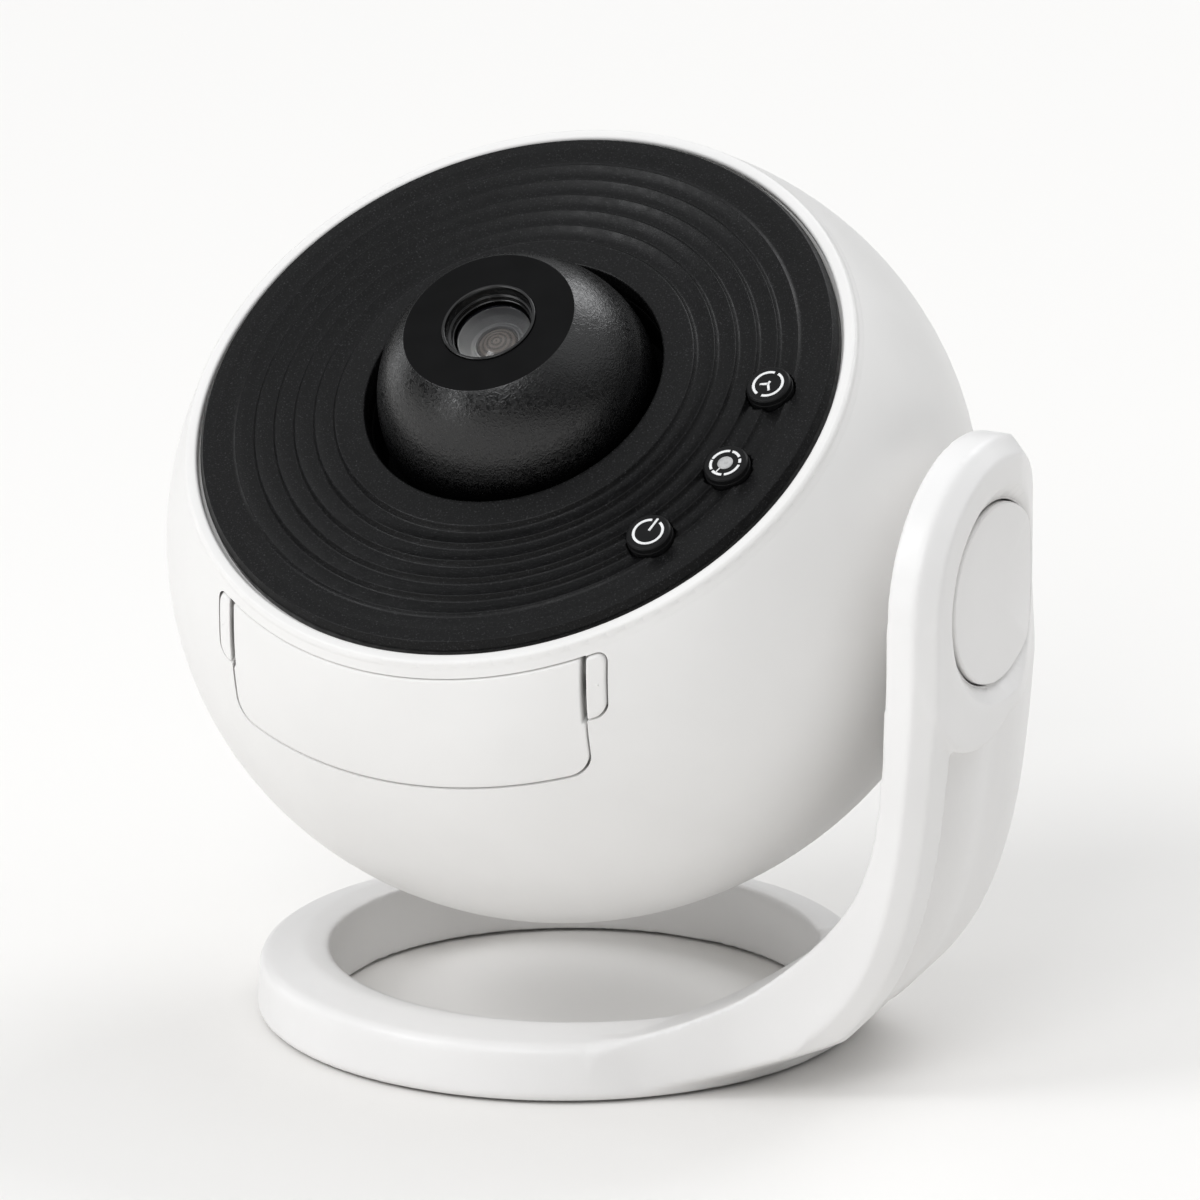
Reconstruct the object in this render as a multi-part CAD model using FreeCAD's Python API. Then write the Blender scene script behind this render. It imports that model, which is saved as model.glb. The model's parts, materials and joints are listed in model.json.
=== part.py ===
# Planetarium projector: a white ball that tilts on one side arm which grows out of a ring-shaped foot.
# Every piece is built upright around the ball centre (face up, drawer towards -Y, pivot along +X) and then
# tilted and lifted into place; the stand pieces are built where they stand, floor at z = 0.
import FreeCAD, Part
import math
import os

# ---- driving dimensions, mm ----------------------------------------------------------------------------
BALL_R = 80.0           # ball radius square to the face axis
BALL_H = 73.3           # ball half height along the face axis (it is slightly flattened)
WALL = 2.4              # wall of the ball
TILT = 34.6             # lean of the face towards the front at rest, degrees
PIVOT_Z = 99.4          # height of the pivot and of the ball centre above the floor
LIP = 2.7               # width of the white lip around the faceplate
LIP_Z = 38.8            # height where the ball outline ends in the lip
PLATE_SEAT = 38.2       # height of the ledge the faceplate sits on
HOLE_R = 30.0           # hole in the faceplate
CROWN_Z = 44.0          # highest line of the faceplate, at the hole
DOME_R = 27.5           # focus dome
DOME_Z = 40.0           # its centre above the ball centre
FLAT_Z = 61.5           # its flat top
BUTTON_INSET = 12.1     # distance of the buttons from the rim of the faceplate
BUTTON_R = 4.6
BUTTON_AT = {"power": 54.6, "rotate": 77.4, "timer": 99.5}    # degrees from the drawer side towards the pivot
DOOR_X = 38.6           # half width of the drawer front
DOOR_Z0 = 15.4
DOOR_Z1 = 37.0
DOOR_CORNER = 3.8       # radius of its lower corners
DISC_R = 30.0           # film disc with its frame
LATCH_TRAVEL = 1.0
FOCUS_TRAVEL = 1.5      # lens travel to each side of rest
RING_RI = 47.9          # hole of the foot ring, under the ball
RING_RO = 60.0          # its outer wall
RING_X = -2.6           # the outer wall lies off the hole's centre, away from the arm
RING_TOP = 13.9
ARM_Y = 31.0            # half depth of the arm
HUB_OUT = BALL_R + 3.4  # end face of the pivot hub
WASHER = 0.8            # room for the friction washer between hub and arm
ARM_IN = HUB_OUT + WASHER      # inner face of the arm at the pivot
ARM_OUT = ARM_IN + 9.8         # outer face of its boss
HEAD_R = 30.8
CAP_R = 18.0

# ---- fits ----------------------------------------------------------------------------------------------
RUN = 0.05              # running fit, radial
GAP = 0.3               # gap line between neighbouring skins
SLIDE = 0.1             # loose sliding fit

V = FreeCAD.Vector
ORIGIN = V(0, 0, 0)
EX = V(1, 0, 0)
EY = V(0, 1, 0)
EZ = V(0, 0, 1)


# ---- small helpers -------------------------------------------------------------------------------------
def box(x0, x1, y0, y1, z0, z1):
    """Box between two corners."""
    return Part.makeBox(x1 - x0, y1 - y0, z1 - z0, V(x0, y0, z0))


def cyl(r, z0, z1, x=0.0, y=0.0):
    """Upright cylinder."""
    return Part.makeCylinder(r, z1 - z0, V(x, y, z0))


def tube(ri, ro, z0, z1, x=0.0, y=0.0):
    """Upright tube."""
    return cyl(ro, z0, z1, x, y).cut(cyl(ri, z0 - 1, z1 + 1, x, y))


def on_x(shape):
    """Turn a shape built around Z so that its axis is the pivot axis X."""
    out = shape.copy()
    out.rotate(ORIGIN, EY, 90)
    return out


def arc3(a, b, c):
    """Arc through three profile points (r, z)."""
    return Part.Arc(V(a[0], 0, a[1]), V(b[0], 0, b[1]), V(c[0], 0, c[1])).toShape()


def lens_arc(edge, apex_z):
    """Arc of a sphere centred on the axis, from an edge point (r, z) to the axis at apex_z."""
    r, z = edge
    sag = apex_z - z
    rad = (r * r + sag * sag) / (2 * abs(sag))
    s = 1.0 if sag > 0 else -1.0
    centre = apex_z - s * rad
    half = 0.5 * math.asin(r / rad)
    mid = (rad * math.sin(half), centre + s * rad * math.cos(half))
    return arc3(edge, mid, (0.0, apex_z))


def line(a, b):
    """Straight profile edge between two points (r, z)."""
    return Part.makeLine(V(a[0], 0, a[1]), V(b[0], 0, b[1]))


def oval_arc(off, a, b):
    """Edge on the ball outline moved inwards by off, between two points that lie on it."""
    ra, rb = BALL_R - off, BALL_H - off
    ta = math.atan2(a[1] / rb, a[0] / ra)
    tb = math.atan2(b[1] / rb, b[0] / ra)
    t0, t1 = min(ta, tb), max(ta, tb)
    if ra >= rb:
        return Part.ArcOfEllipse(Part.Ellipse(V(ra, 0, 0), V(0, 0, rb), ORIGIN), t0, t1).toShape()
    quarter = math.pi / 2
    upright = Part.Ellipse(V(0, 0, rb), V(ra, 0, 0), ORIGIN)
    return Part.ArcOfEllipse(upright, quarter - t1, quarter - t0).toShape()


def spin(edges, angle=360.0):
    """Turn a closed profile around Z."""
    wire = Part.Wire(Part.__sortEdges__(edges))
    return solid(Part.Face(wire).revolve(ORIGIN, EZ, angle))


def spin_pts(pts, angle=360.0):
    """Turn a polygon of (r, z) points around Z."""
    edges = [line(pts[i], pts[(i + 1) % len(pts)]) for i in range(len(pts))]
    return spin(edges, angle)


def solid(shape):
    """The shape as one solid, facing outward."""
    out = shape.Solids[0] if shape.Solids else Part.Solid(shape.Shells[0])
    if out.Volume < 0:
        out.reverse()
    return out


def ball_r(z, off=0.0):
    """Radius of the ball outline at height z, moved inwards by off."""
    return (BALL_R - off) * math.sqrt(max(0.0, 1 - (z / (BALL_H - off)) ** 2))


def ball_z(r, off=0.0):
    """Height of the ball outline at radius r, moved inwards by off."""
    return (BALL_H - off) * math.sqrt(max(0.0, 1 - (r / (BALL_R - off)) ** 2))


def ball(off):
    """The whole ball moved inwards by off."""
    top, low = (0.0, BALL_H - off), (0.0, off - BALL_H)
    return spin([oval_arc(off, low, top), line(top, low)])


def at_angle(r, deg):
    """Point at radius r, deg counted from the drawer side (-Y) towards +X."""
    a = math.radians(deg)
    return r * math.sin(a), -r * math.cos(a)


def extrude_xy(pts, z0, z1):
    """Prism of a polygon in plan."""
    wire = Part.makePolygon([V(x, y, z0) for x, y in pts + pts[:1]])
    return Part.Face(wire).extrude(V(0, 0, z1 - z0))


def hexagon(circum, z0, z1):
    """Upright hexagonal prism, flats towards +Y and -Y."""
    pts = [(circum * math.cos(math.radians(60 * k)), circum * math.sin(math.radians(60 * k))) for k in range(6)]
    return extrude_xy(pts, z0, z1)


def fuse(first, *others):
    """Join shapes into one solid."""
    return solid(first.fuse(list(others)).removeSplitter())


def drill(x, y, z0, z1, r):
    """Drilling tool."""
    return cyl(r, z0, z1, x, y)


def screw(x, y, z_head, z_tip, head_r, shank_r, head_h, recess=0.5):
    """Pan-head screw with a cross recess; the head starts at z_head and the tip is at z_tip."""
    s = 1.0 if z_tip > z_head else -1.0
    head = cyl(head_r, 0, head_h)
    slot = box(-head_r * recess, head_r * recess, -0.35, 0.35, -1, 0.7)
    slot = slot.fuse(box(-0.35, 0.35, -head_r * recess, head_r * recess, -1, 0.7))
    body = solid(head.cut(slot).fuse(cyl(shank_r, head_h - 0.1, abs(z_tip - z_head))).removeSplitter())
    if s < 0:
        body.rotate(ORIGIN, EX, 180)
    body.translate(V(x, y, z_head))
    return body


def in_ball(shape):
    """Tilt a piece with the ball and lift it to the pivot height."""
    out = shape.copy()
    out.rotate(ORIGIN, EX, TILT)
    out.translate(V(0, 0, PIVOT_Z))
    return out


def in_arm(shape):
    """Lift a piece of the stand to the pivot height without tilting it."""
    out = shape.copy()
    out.translate(V(0, 0, PIVOT_Z))
    return out


# ---- the ball: housing, rear cap, faceplate -------------------------------------------------------------
LIP_R = ball_r(LIP_Z)   # outer edge of the lip
RIM_R = LIP_R - LIP     # inner wall of the lip
PLATE_R = RIM_R - 0.5   # black faceplate, outer radius
BUTTON_RING = PLATE_R - BUTTON_INSET   # radius the buttons sit on
OUTSIDE = BALL_R + 10.0                # reach of the cutting tools beyond the ball
CAP_SEAM = 0.675 * BALL_R              # radius of the seam between housing and rear cap
CAP_SEAT = 2.2 - ball_z(CAP_SEAM)      # plane where the rear cap seats
LEDGE_Z = CAP_SEAT + 1.8               # upper side of that seat
CAP_SCREW_R = CAP_SEAM - 8.5           # bolt circle of the rear cap
LUG_R = BALL_R - 22.0   # bolt circle of the chassis
LUG_AT = (52.0, 128.0, 232.0, 308.0)
DECK = 12.6             # underside of the chassis deck
HUB_R = 16.4            # pivot hub barrel
HUB_SEAT = BALL_R - 8.5 # inner face of the pivot boss, the hub flange lies against it
HUB_IN = HUB_SEAT - 3.0 # inner face of the hub flange
FRAME_OFF = 5.0         # depth of the frame around the drawer
DOOR_OPEN_X = 37.2      # half width of the drawer opening
STEM_SLOT_X = (36.0, 41.7)     # slots in the frame for the latch stems and bars


def door_outline(grow):
    """Tool with the outline of the drawer front: straight sides, rounded lower corners."""
    x, z0, z1, r = DOOR_X + grow, DOOR_Z0 - grow, DOOR_Z1 + grow, DOOR_CORNER + grow
    tool = box(-x, x, -OUTSIDE, -30, z0 + r, z1)
    tool = tool.fuse(box(-x + r, x - r, -OUTSIDE, -30, z0, z1))
    for s in (-1, 1):
        rod = Part.makeCylinder(r, OUTSIDE - 30, V(s * (x - r), -OUTSIDE, z0 + r), EY)
        tool = tool.fuse(rod)
    return tool


def key_outline(side, grow):
    """Tool with the outline of one latch key beside the drawer front: round outer corners."""
    x0, x1, z0, z1, r = DOOR_X + GAP - grow, DOOR_X + GAP + 3.4 + grow, 26.1 - grow, DOOR_Z1 - 0.1 + grow, 2.2
    tool = box(x0, x1 - r, -OUTSIDE, -30, z0, z1).fuse(box(x0, x1, -OUTSIDE, -30, z0 + r, z1 - r))
    for z in (z0 + r, z1 - r):
        tool = tool.fuse(Part.makeCylinder(r, OUTSIDE - 30, V(x1 - r, -OUTSIDE, z), EY))
    tool = tool.common(box(x0, x1, -OUTSIDE, -30, z0, z1)).removeSplitter()
    if side < 0:
        tool = tool.mirror(ORIGIN, EX)
    return tool


def skin(off0, off1):
    """Layer of the ball between two offsets."""
    return ball(off0).cut(ball(off1))


def housing_shell():
    """Ball housing: lip, faceplate ledge, rear ledge, frame round the drawer, lugs, bosses, pivot boss."""
    top = LIP_Z + 1.4
    crest_out, crest_in = (LIP_R - 1.0, top), (RIM_R + 0.8, top)
    wall_top, wall_low = (RIM_R, top - 0.5), (RIM_R, PLATE_SEAT)
    ledge, ledge_low = (RIM_R - 4.3, PLATE_SEAT), (RIM_R - 4.3, PLATE_SEAT - 2.8)
    lip0 = (LIP_R, LIP_Z)
    low = (CAP_SEAM, -ball_z(CAP_SEAM))
    inner_top = (ball_r(ledge_low[1], WALL), ledge_low[1])
    inner_low = (ball_r(LEDGE_Z, WALL), LEDGE_Z)
    seat_in = CAP_SEAM - 6.4
    edges = [
        oval_arc(0.0, lip0, low), arc3(lip0, (LIP_R - 0.3, top - 0.45), crest_out), line(crest_out, crest_in),
        arc3(crest_in, (RIM_R + 0.3, top - 0.1), wall_top), line(wall_top, wall_low), line(wall_low, ledge),
        line(ledge, ledge_low), line(ledge_low, inner_top), oval_arc(WALL, inner_top, inner_low),
        line(inner_low, (seat_in, LEDGE_Z)), line((seat_in, LEDGE_Z), (seat_in, CAP_SEAT)),
        line((seat_in, CAP_SEAT), (CAP_SEAM, CAP_SEAT)),
        line((CAP_SEAM, CAP_SEAT), low)]
    body = spin(edges)
    frame = skin(2.0, FRAME_OFF).common(box(-46, 46, -OUTSIDE, -30, 11.5, 37.6))
    lugs = []
    for deg in LUG_AT:
        lug = box(-4.5, 4.5, 3.0 - BALL_R, 4.5 - LUG_R, 8.6, DECK)
        lug.rotate(ORIGIN, EZ, deg)
        lugs.append(lug.common(ball(1.0)))
    posts = [cyl(3.2, CAP_SEAT, CAP_SEAT + 11.9, *at_angle(CAP_SCREW_R, 45 + 90 * k)) for k in range(4)]
    boss = on_x(cyl(23.0, HUB_SEAT, BALL_R - 1.0)).common(ball(1.0))
    body = fuse(body, frame, boss, *(lugs + posts))
    body = body.cut(on_x(cyl(HUB_R + SLIDE, HUB_IN, OUTSIDE)))
    for k in range(3):
        hole = on_x(cyl(1.32, HUB_SEAT - 0.5, HUB_SEAT + 5.5))
        hole.translate(V(0, *at_angle(19.6, 120 * k)))
        body = body.cut(hole)
    for k in range(4):
        x, y = at_angle(CAP_SCREW_R, 45 + 90 * k)
        body = body.cut(drill(x, y, CAP_SEAT - 8.0, CAP_SEAT + 9.9, 1.32))
    for deg in LUG_AT:
        x, y = at_angle(LUG_R, deg)
        body = body.cut(drill(x, y, 5, 20, 1.32))
    return solid(drawer_cuts(body))


def drawer_cuts(body):
    """Pocket for the drawer front and its keys, opening for the tray, slots for the latch stems."""
    body = body.cut(skin(-5.0, 2.3).common(door_outline(GAP)))
    for s in (-1, 1):
        body = body.cut(skin(-5.0, 2.3).common(key_outline(s, GAP)))
        x0, x1 = sorted((s * STEM_SLOT_X[0], s * STEM_SLOT_X[1]))
        body = body.cut(box(x0, x1, -OUTSIDE, -45, 28.8, 32.6))
    body = body.cut(box(-DOOR_OPEN_X, DOOR_OPEN_X, -OUTSIDE, -40, 15.8, 33.6))
    return body


def vent_slots():
    """Cooling slots of the rear cap."""
    tool = None
    for k in range(6):
        y = -34.0 + 5.2 * k
        half = 16.0 - 0.9 * abs(k - 2.5)
        slot = box(-half, half, y - 1.1, y + 1.1, -90, -40)
        tool = slot if tool is None else tool.fuse(slot)
    return tool


INLET_Y = 36.0          # power inlet on the rear cap
BOARD_Z = -42.0         # underside of the main board


def rear_cap():
    """Rear cap: seat rim, screw pillars, board pillars, vents and inlet hole."""
    rim = CAP_SEAM - GAP
    out_rim = (rim, -ball_z(rim))
    seat = CAP_SEAM - 4.6
    in_rim = (seat, -ball_z(seat, WALL))
    edges = [
        oval_arc(0.0, (0.0, -BALL_H), out_rim), line(out_rim, (rim, CAP_SEAT)),
        line((rim, CAP_SEAT), (seat, CAP_SEAT)), line((seat, CAP_SEAT), in_rim),
        oval_arc(WALL, in_rim, (0.0, WALL - BALL_H)),
        line((0.0, WALL - BALL_H), (0.0, -BALL_H))]
    body = spin(edges)
    parts = []
    for k in range(4):
        x, y = at_angle(CAP_SCREW_R, 45 + 90 * k)
        parts.append(cyl(3.6, -70, CAP_SEAT, x, y).common(ball(1.0)))
    for x in (-26.0, 26.0):
        for y in (-18.0, 18.0):
            parts.append(cyl(2.8, -75, BOARD_Z, x, y).common(ball(1.0)))
    body = fuse(body, *parts)
    for k in range(4):
        x, y = at_angle(CAP_SCREW_R, 45 + 90 * k)
        body = body.cut(drill(x, y, -OUTSIDE, -50, 1.5)).cut(drill(x, y, -OUTSIDE, CAP_SEAT - 4.5, 3.0))
    for x in (-26.0, 26.0):
        for y in (-18.0, 18.0):
            body = body.cut(drill(x, y, -50, BOARD_Z + 1, 1.02))
    body = body.cut(vent_slots()).cut(drill(0, INLET_Y, -OUTSIDE, -50, 4.3))
    return solid(body)


RIM_BEVEL = 2.2         # width of the bevel at the rim of the faceplate
BEVEL_Z = 41.7          # its upper edge
RIDGE_IN = HOLE_R + 6.0
RIDGE_PITCH = (PLATE_R - 8.7 - RIDGE_IN) / 5
RIDGES = [RIDGE_IN + RIDGE_PITCH * k for k in range(6)]
STEP_DEPTH = 0.45       # drop outside each ridge
WELL_SCREW_R = HOLE_R + 6.4
KEY_ANGLES = sorted(BUTTON_AT.values())
BOARD_SCREW_AT = [0.5 * (a + b) for a, b in zip(KEY_ANGLES[:-1], KEY_ANGLES[1:])]    # between neighbouring keys


def plate_top(r):
    """Height of the faceplate top line at radius r: a shallow cone rising to the hole."""
    return CROWN_Z - (r - HOLE_R) * (CROWN_Z - BEVEL_Z) / (PLATE_R - RIM_BEVEL - HOLE_R)


def faceplate():
    """Black faceplate with shallow stepped rings, snap hooks and button holes."""
    inner = (HOLE_R, CROWN_Z - 0.8)
    crown = (HOLE_R + 0.8, CROWN_Z)
    edges = [arc3(inner, (HOLE_R + 0.24, CROWN_Z - 0.24), crown)]
    edges.append(line(crown, (RIDGES[0], plate_top(RIDGES[0]))))
    for a, b in zip(RIDGES[:-1], RIDGES[1:]):
        foot, half, late = a + 0.3 * RIDGE_PITCH, a + 0.12 * RIDGE_PITCH, a + 0.65 * RIDGE_PITCH
        low = (foot, plate_top(foot) - STEP_DEPTH)
        edges.append(arc3((a, plate_top(a)), (half, plate_top(half) - 0.6 * STEP_DEPTH), low))
        edges.append(arc3(low, (late, plate_top(late) - 0.45 * STEP_DEPTH), (b, plate_top(b))))
    last = (RIDGES[-1], plate_top(RIDGES[-1]))
    wall = PLATE_R - 5.0
    pts = [last, (PLATE_R - RIM_BEVEL, BEVEL_Z), (PLATE_R, BEVEL_Z - 1.0), (PLATE_R, PLATE_SEAT), (wall, PLATE_SEAT),
           (wall, 39.4), (HOLE_R + 3.4, 41.4), (HOLE_R + 3.4, PLATE_SEAT), (HOLE_R, PLATE_SEAT), inner]
    edges += [line(pts[i], pts[i + 1]) for i in range(len(pts) - 1)]
    body = spin(edges)
    extra = []
    for k in range(4):
        hook = box(-3.5, 3.5, -(RIM_R - 4.5), -(RIM_R - 6.5), PLATE_SEAT - 4.0, 39.6)
        hook = hook.fuse(box(-3.5, 3.5, -(RIM_R - 3.5), -(RIM_R - 6.5), PLATE_SEAT - 4.0, PLATE_SEAT - 3.0))
        hook.rotate(ORIGIN, EZ, 45 + 90 * k)
        extra.append(hook)
    for k in range(3):
        extra.append(cyl(2.9, PLATE_SEAT, 42.0, *at_angle(WELL_SCREW_R, 60 + 120 * k)))
    for name in BUTTON_AT:
        x, y = at_angle(BUTTON_RING, BUTTON_AT[name])
        extra.append(tube(BUTTON_R + 0.15, BUTTON_R + 0.85, 39.9, 42.75, x, y))
    for a in BOARD_SCREW_AT:
        extra.append(cyl(2.2, 33.2, 41.0, *at_angle(BUTTON_RING, a)))
    body = fuse(body, *extra)
    for name in BUTTON_AT:
        x, y = at_angle(BUTTON_RING, BUTTON_AT[name])
        body = body.cut(drill(x, y, 30, 60, BUTTON_R + 0.15))
        body = body.cut(drill(x, y, 30, 39.9, BUTTON_R + 0.95))
    for k in range(3):
        x, y = at_angle(WELL_SCREW_R, 60 + 120 * k)
        body = body.cut(drill(x, y, 30, 41.2, 1.12))
    for a in BOARD_SCREW_AT:
        x, y = at_angle(BUTTON_RING, a)
        body = body.cut(drill(x, y, 30, 38.0, 0.92))
    return solid(body)


# ---- optics: well, dome, lens ---------------------------------------------------------------------------
WELL_FLOOR = 27.0
COLLAR_R = 11.7
BARREL_R = 9.6
BARREL_TOP = 56.2
BEZEL_R = 9.4           # glossy ring round the lens
LIP_LOW = BARREL_TOP + FOCUS_TRAVEL + SLIDE      # inner lip of the dome, stops the barrel and carries the ring
BEZEL_SEAT = LIP_LOW + 1.0


def dome_well():
    """Dark cup around the focus dome, with a flange below the faceplate."""
    pts = [(COLLAR_R + RUN, 25.0), (31.4, 25.0), (31.4, 36.2), (40.0, 36.2), (40.0, PLATE_SEAT),
           (29.9, PLATE_SEAT), (29.9, WELL_FLOOR), (COLLAR_R + RUN, WELL_FLOOR)]
    body = spin_pts(pts)
    for k in range(3):
        x, y = at_angle(WELL_SCREW_R, 60 + 120 * k)
        body = body.cut(drill(x, y, 30, 50, 1.3))
    return solid(body)


def focus_dome():
    """Grained dome with a flat top, inner collar and open skirt."""
    r_flat = math.sqrt(DOME_R ** 2 - (FLAT_Z - DOME_Z) ** 2)
    low = WELL_FLOOR + SLIDE
    r_low = math.sqrt(DOME_R ** 2 - (low - DOME_Z) ** 2)
    ri = DOME_R - 2.0
    r_low_in = math.sqrt(ri ** 2 - (low - DOME_Z) ** 2)
    top_in = FLAT_Z - 2.6
    r_top_in = math.sqrt(ri ** 2 - (top_in - DOME_Z) ** 2)
    bore, slide = BEZEL_R + RUN, BARREL_R + RUN
    edges = [
        arc3((r_low, low), (DOME_R, DOME_Z), (r_flat, FLAT_Z)), line((r_flat, FLAT_Z), (bore, FLAT_Z)),
        line((bore, FLAT_Z), (bore, BEZEL_SEAT)), line((bore, BEZEL_SEAT), (bore - 0.8, BEZEL_SEAT)),
        line((bore - 0.8, BEZEL_SEAT), (bore - 0.8, LIP_LOW)), line((bore - 0.8, LIP_LOW), (slide, LIP_LOW)),
        line((slide, LIP_LOW), (slide, 22.3)), line((slide, 22.3), (COLLAR_R, 22.3)),
        line((COLLAR_R, 22.3), (COLLAR_R, top_in)), line((COLLAR_R, top_in), (r_top_in, top_in)),
        arc3((r_top_in, top_in), (ri, DOME_Z), (r_low_in, low)), line((r_low_in, low), (r_low, low))]
    body = spin(edges)
    groove = tube(11.1, 13.0, 23.7, 24.8)
    return solid(body.cut(groove))


def dome_clip():
    """Snap ring under the well floor that keeps the dome in."""
    ring = tube(11.15, 13.6, 23.8, 24.7)
    return solid(ring.cut(box(-2.0, 2.0, 0.0, 20.0, 20.0, 30.0)))


def lens_bezel():
    """Glossy stepped ring in the flat of the dome."""
    r, top = BEZEL_R, FLAT_Z + 0.4
    pts = [(r, BEZEL_SEAT), (r, top - 0.3), (r - 0.3, top), (r - 0.7, top), (r - 1.0, top - 0.4), (r - 1.0, 60.7),
           (r - 1.4, 60.7), (r - 1.4, 59.9), (r - 1.8, 59.9), (r - 1.8, BEZEL_SEAT)]
    return spin_pts(pts)


def lens_barrel():
    """Sliding lens barrel with seats for two lenses and two guide keys."""
    pts = [(BARREL_R, 23.6), (BARREL_R, BARREL_TOP), (8.2, BARREL_TOP), (8.2, 51.0), (7.4, 51.0), (7.4, 45.0),
           (6.6, 45.0), (6.6, 40.0), (8.2, 40.0), (8.2, 23.6)]
    return spin_pts(pts)


def front_lens():
    """Front lens: biconvex."""
    edge0, edge1 = (8.1, 51.0), (8.1, 53.2)
    edges = [line(edge0, edge1), lens_arc(edge1, 55.3), line((0.0, 55.3), (0.0, 50.0)),
             lens_arc((7.3, 51.0), 50.0), line((7.3, 51.0), edge0)]
    return spin(edges)


def lens_stop():
    """Bright ring that holds the second lens behind the front one."""
    pts = [(4.1, 45.0), (7.3, 45.0), (7.3, 46.2), (5.4, 46.2), (4.9, 47.2), (4.3, 47.2), (4.1, 46.9)]
    return spin_pts(pts)


def rear_lens():
    """Small second lens."""
    edges = [line((4.05, 45.2), (4.05, 46.4)), lens_arc((4.05, 46.4), 47.35),
             line((0.0, 47.35), (0.0, 44.6)), lens_arc((4.05, 45.2), 44.6)]
    return spin(edges)


# ---- buttons --------------------------------------------------------------------------------------------
def button(name):
    """Round button: cap with a bevelled rim, retaining flange and stem."""
    pts = [(0.0, 43.95), (3.7, 43.95), (3.85, 44.25), (4.25, 44.25), (BUTTON_R, 43.9), (BUTTON_R, 39.6),
           (BUTTON_R + 0.7, 39.6), (BUTTON_R + 0.7, 38.6), (1.3, 38.6), (1.3, 36.55), (0.0, 36.55)]
    body = spin_pts(pts)
    body.translate(V(*at_angle(BUTTON_RING, BUTTON_AT[name]), 0))
    return body


def button_board():
    """Curved circuit board under the buttons."""
    body = tube(BUTTON_RING - 6.5, BUTTON_RING + 6.5, 31.6, 33.2)
    first, last = KEY_ANGLES[0] - 11.5, KEY_ANGLES[-1] + 12.0
    keep = [at_angle(80, first + (last - first) * k / 14) for k in range(15)]
    body = body.common(extrude_xy([(0.0, 0.0)] + keep, 30, 35))
    for a in BOARD_SCREW_AT:
        x, y = at_angle(BUTTON_RING, a)
        body = body.cut(drill(x, y, 30, 35, 1.1))
    return solid(body)


def button_board_screws():
    """Two screws of the button board."""
    out = []
    for a in BOARD_SCREW_AT:
        x, y = at_angle(BUTTON_RING, a)
        out.append(screw(x, y, 30.4, 37.4, 1.8, 0.9, 1.2))
    return out


def button_switches():
    """Three tact switches on the button board."""
    out = []
    for name in BUTTON_AT:
        one = box(-3.0, 3.0, -3.0, 3.0, 33.2, 35.2).fuse(cyl(1.6, 35.2, 35.7)).removeSplitter()
        one = solid(one)
        one.rotate(ORIGIN, EZ, BUTTON_AT[name])
        one.translate(V(*at_angle(BUTTON_RING, BUTTON_AT[name]), 0))
        out.append(one)
    return out


# ---- drawer ---------------------------------------------------------------------------------------------
WALL_Y = 23.4 - BALL_R  # front side of the drawer's inner wall
BAR_Z = (29.2, 32.2)    # height of the latch bar
BAR_LEAN = 33.8         # the latches slide along the ball surface: lean of their path, degrees
BAR_START = (40.2, WALL_Y + 3.1)
BAR_LONG = 9.0


def drawer_front():
    """Curved white drawer front with a rebate and a stem notch beside each key."""
    body = skin(0.0, 2.2).common(door_outline(0.0))
    for s in (-1, 1):
        x0, x1 = sorted((s * (DOOR_X - 1.0), s * 45.0))
        rebate = skin(-5.0, 1.55).common(box(x0, x1, -OUTSIDE, -30, 25.7, 45))
        notch = box(*sorted((s * (DOOR_X - 0.6), s * 45.0)), -OUTSIDE, -45, 28.8, 32.6)
        body = body.cut(rebate).cut(notch)
    return solid(body)


def bar_tool(side, grow, extra):
    """Latch bar along its sliding path, grown by a clearance and made longer by extra."""
    tool = box(-BAR_LONG - extra, 0.0, -0.8 - grow, 0.8 + grow, BAR_Z[0] - grow, BAR_Z[1] + grow)
    tool.rotate(ORIGIN, EZ, BAR_LEAN)
    tool.translate(V(BAR_START[0], BAR_START[1], 0))
    if side < 0:
        tool = tool.mirror(ORIGIN, EX)
    return tool


def drawer_tray():
    """Tray: inner wall with ribs to the front, pocket for the disc carrier, side tongues, latch guides."""
    body = box(-35.0, 35.0, WALL_Y, 35.0, 16.0, 20.6)
    half = DOOR_OPEN_X - 0.6
    wall = box(-half, half, WALL_Y, WALL_Y + 2.0, 16.0, 33.2)
    parts = [wall]
    for s in (-1, 1):
        x0, x1 = sorted((s * 34.0, s * 36.9))
        parts.append(box(x0, x1, WALL_Y + 2.0, 35.0, 17.2, 18.8))
        x0, x1 = sorted((s * 28.0, s * half))
        parts.append(box(x0, x1, WALL_Y - 9.4, WALL_Y + 5.6, 27.4, 33.2).common(ball(2.5)))
    for x in (-24.0, 0.0, 24.0):
        parts.append(box(x - 1.0, x + 1.0, -BALL_R, WALL_Y + 1.0, 17.0, 32.5).common(ball(2.25)))
    body = fuse(body, *parts)
    body = body.cut(cyl(DISC_R + 2.3, 17.1, 30.0)).cut(cyl(26.8, 10.0, 30.0))
    body = body.cut(box(-7.5, 7.5, 28.0, 40.0, 10.0, 30.0))
    for s in (-1, 1):
        body = body.cut(bar_tool(s, SLIDE, LATCH_TRAVEL + 0.6))
    return solid(body)


def latch(side):
    """Latch: rounded key beside the drawer front, stem through the housing and bar guided in the tray."""
    key = skin(-0.3, 1.35).common(key_outline(side, 0.0))
    stem = box(39.2, 41.2, -BALL_R, BAR_START[1] + 0.6, *BAR_Z).common(ball(0.8))
    if side < 0:
        stem = stem.mirror(ORIGIN, EX)
    return fuse(key, stem, bar_tool(side, 0.0, 0.0))


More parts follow.
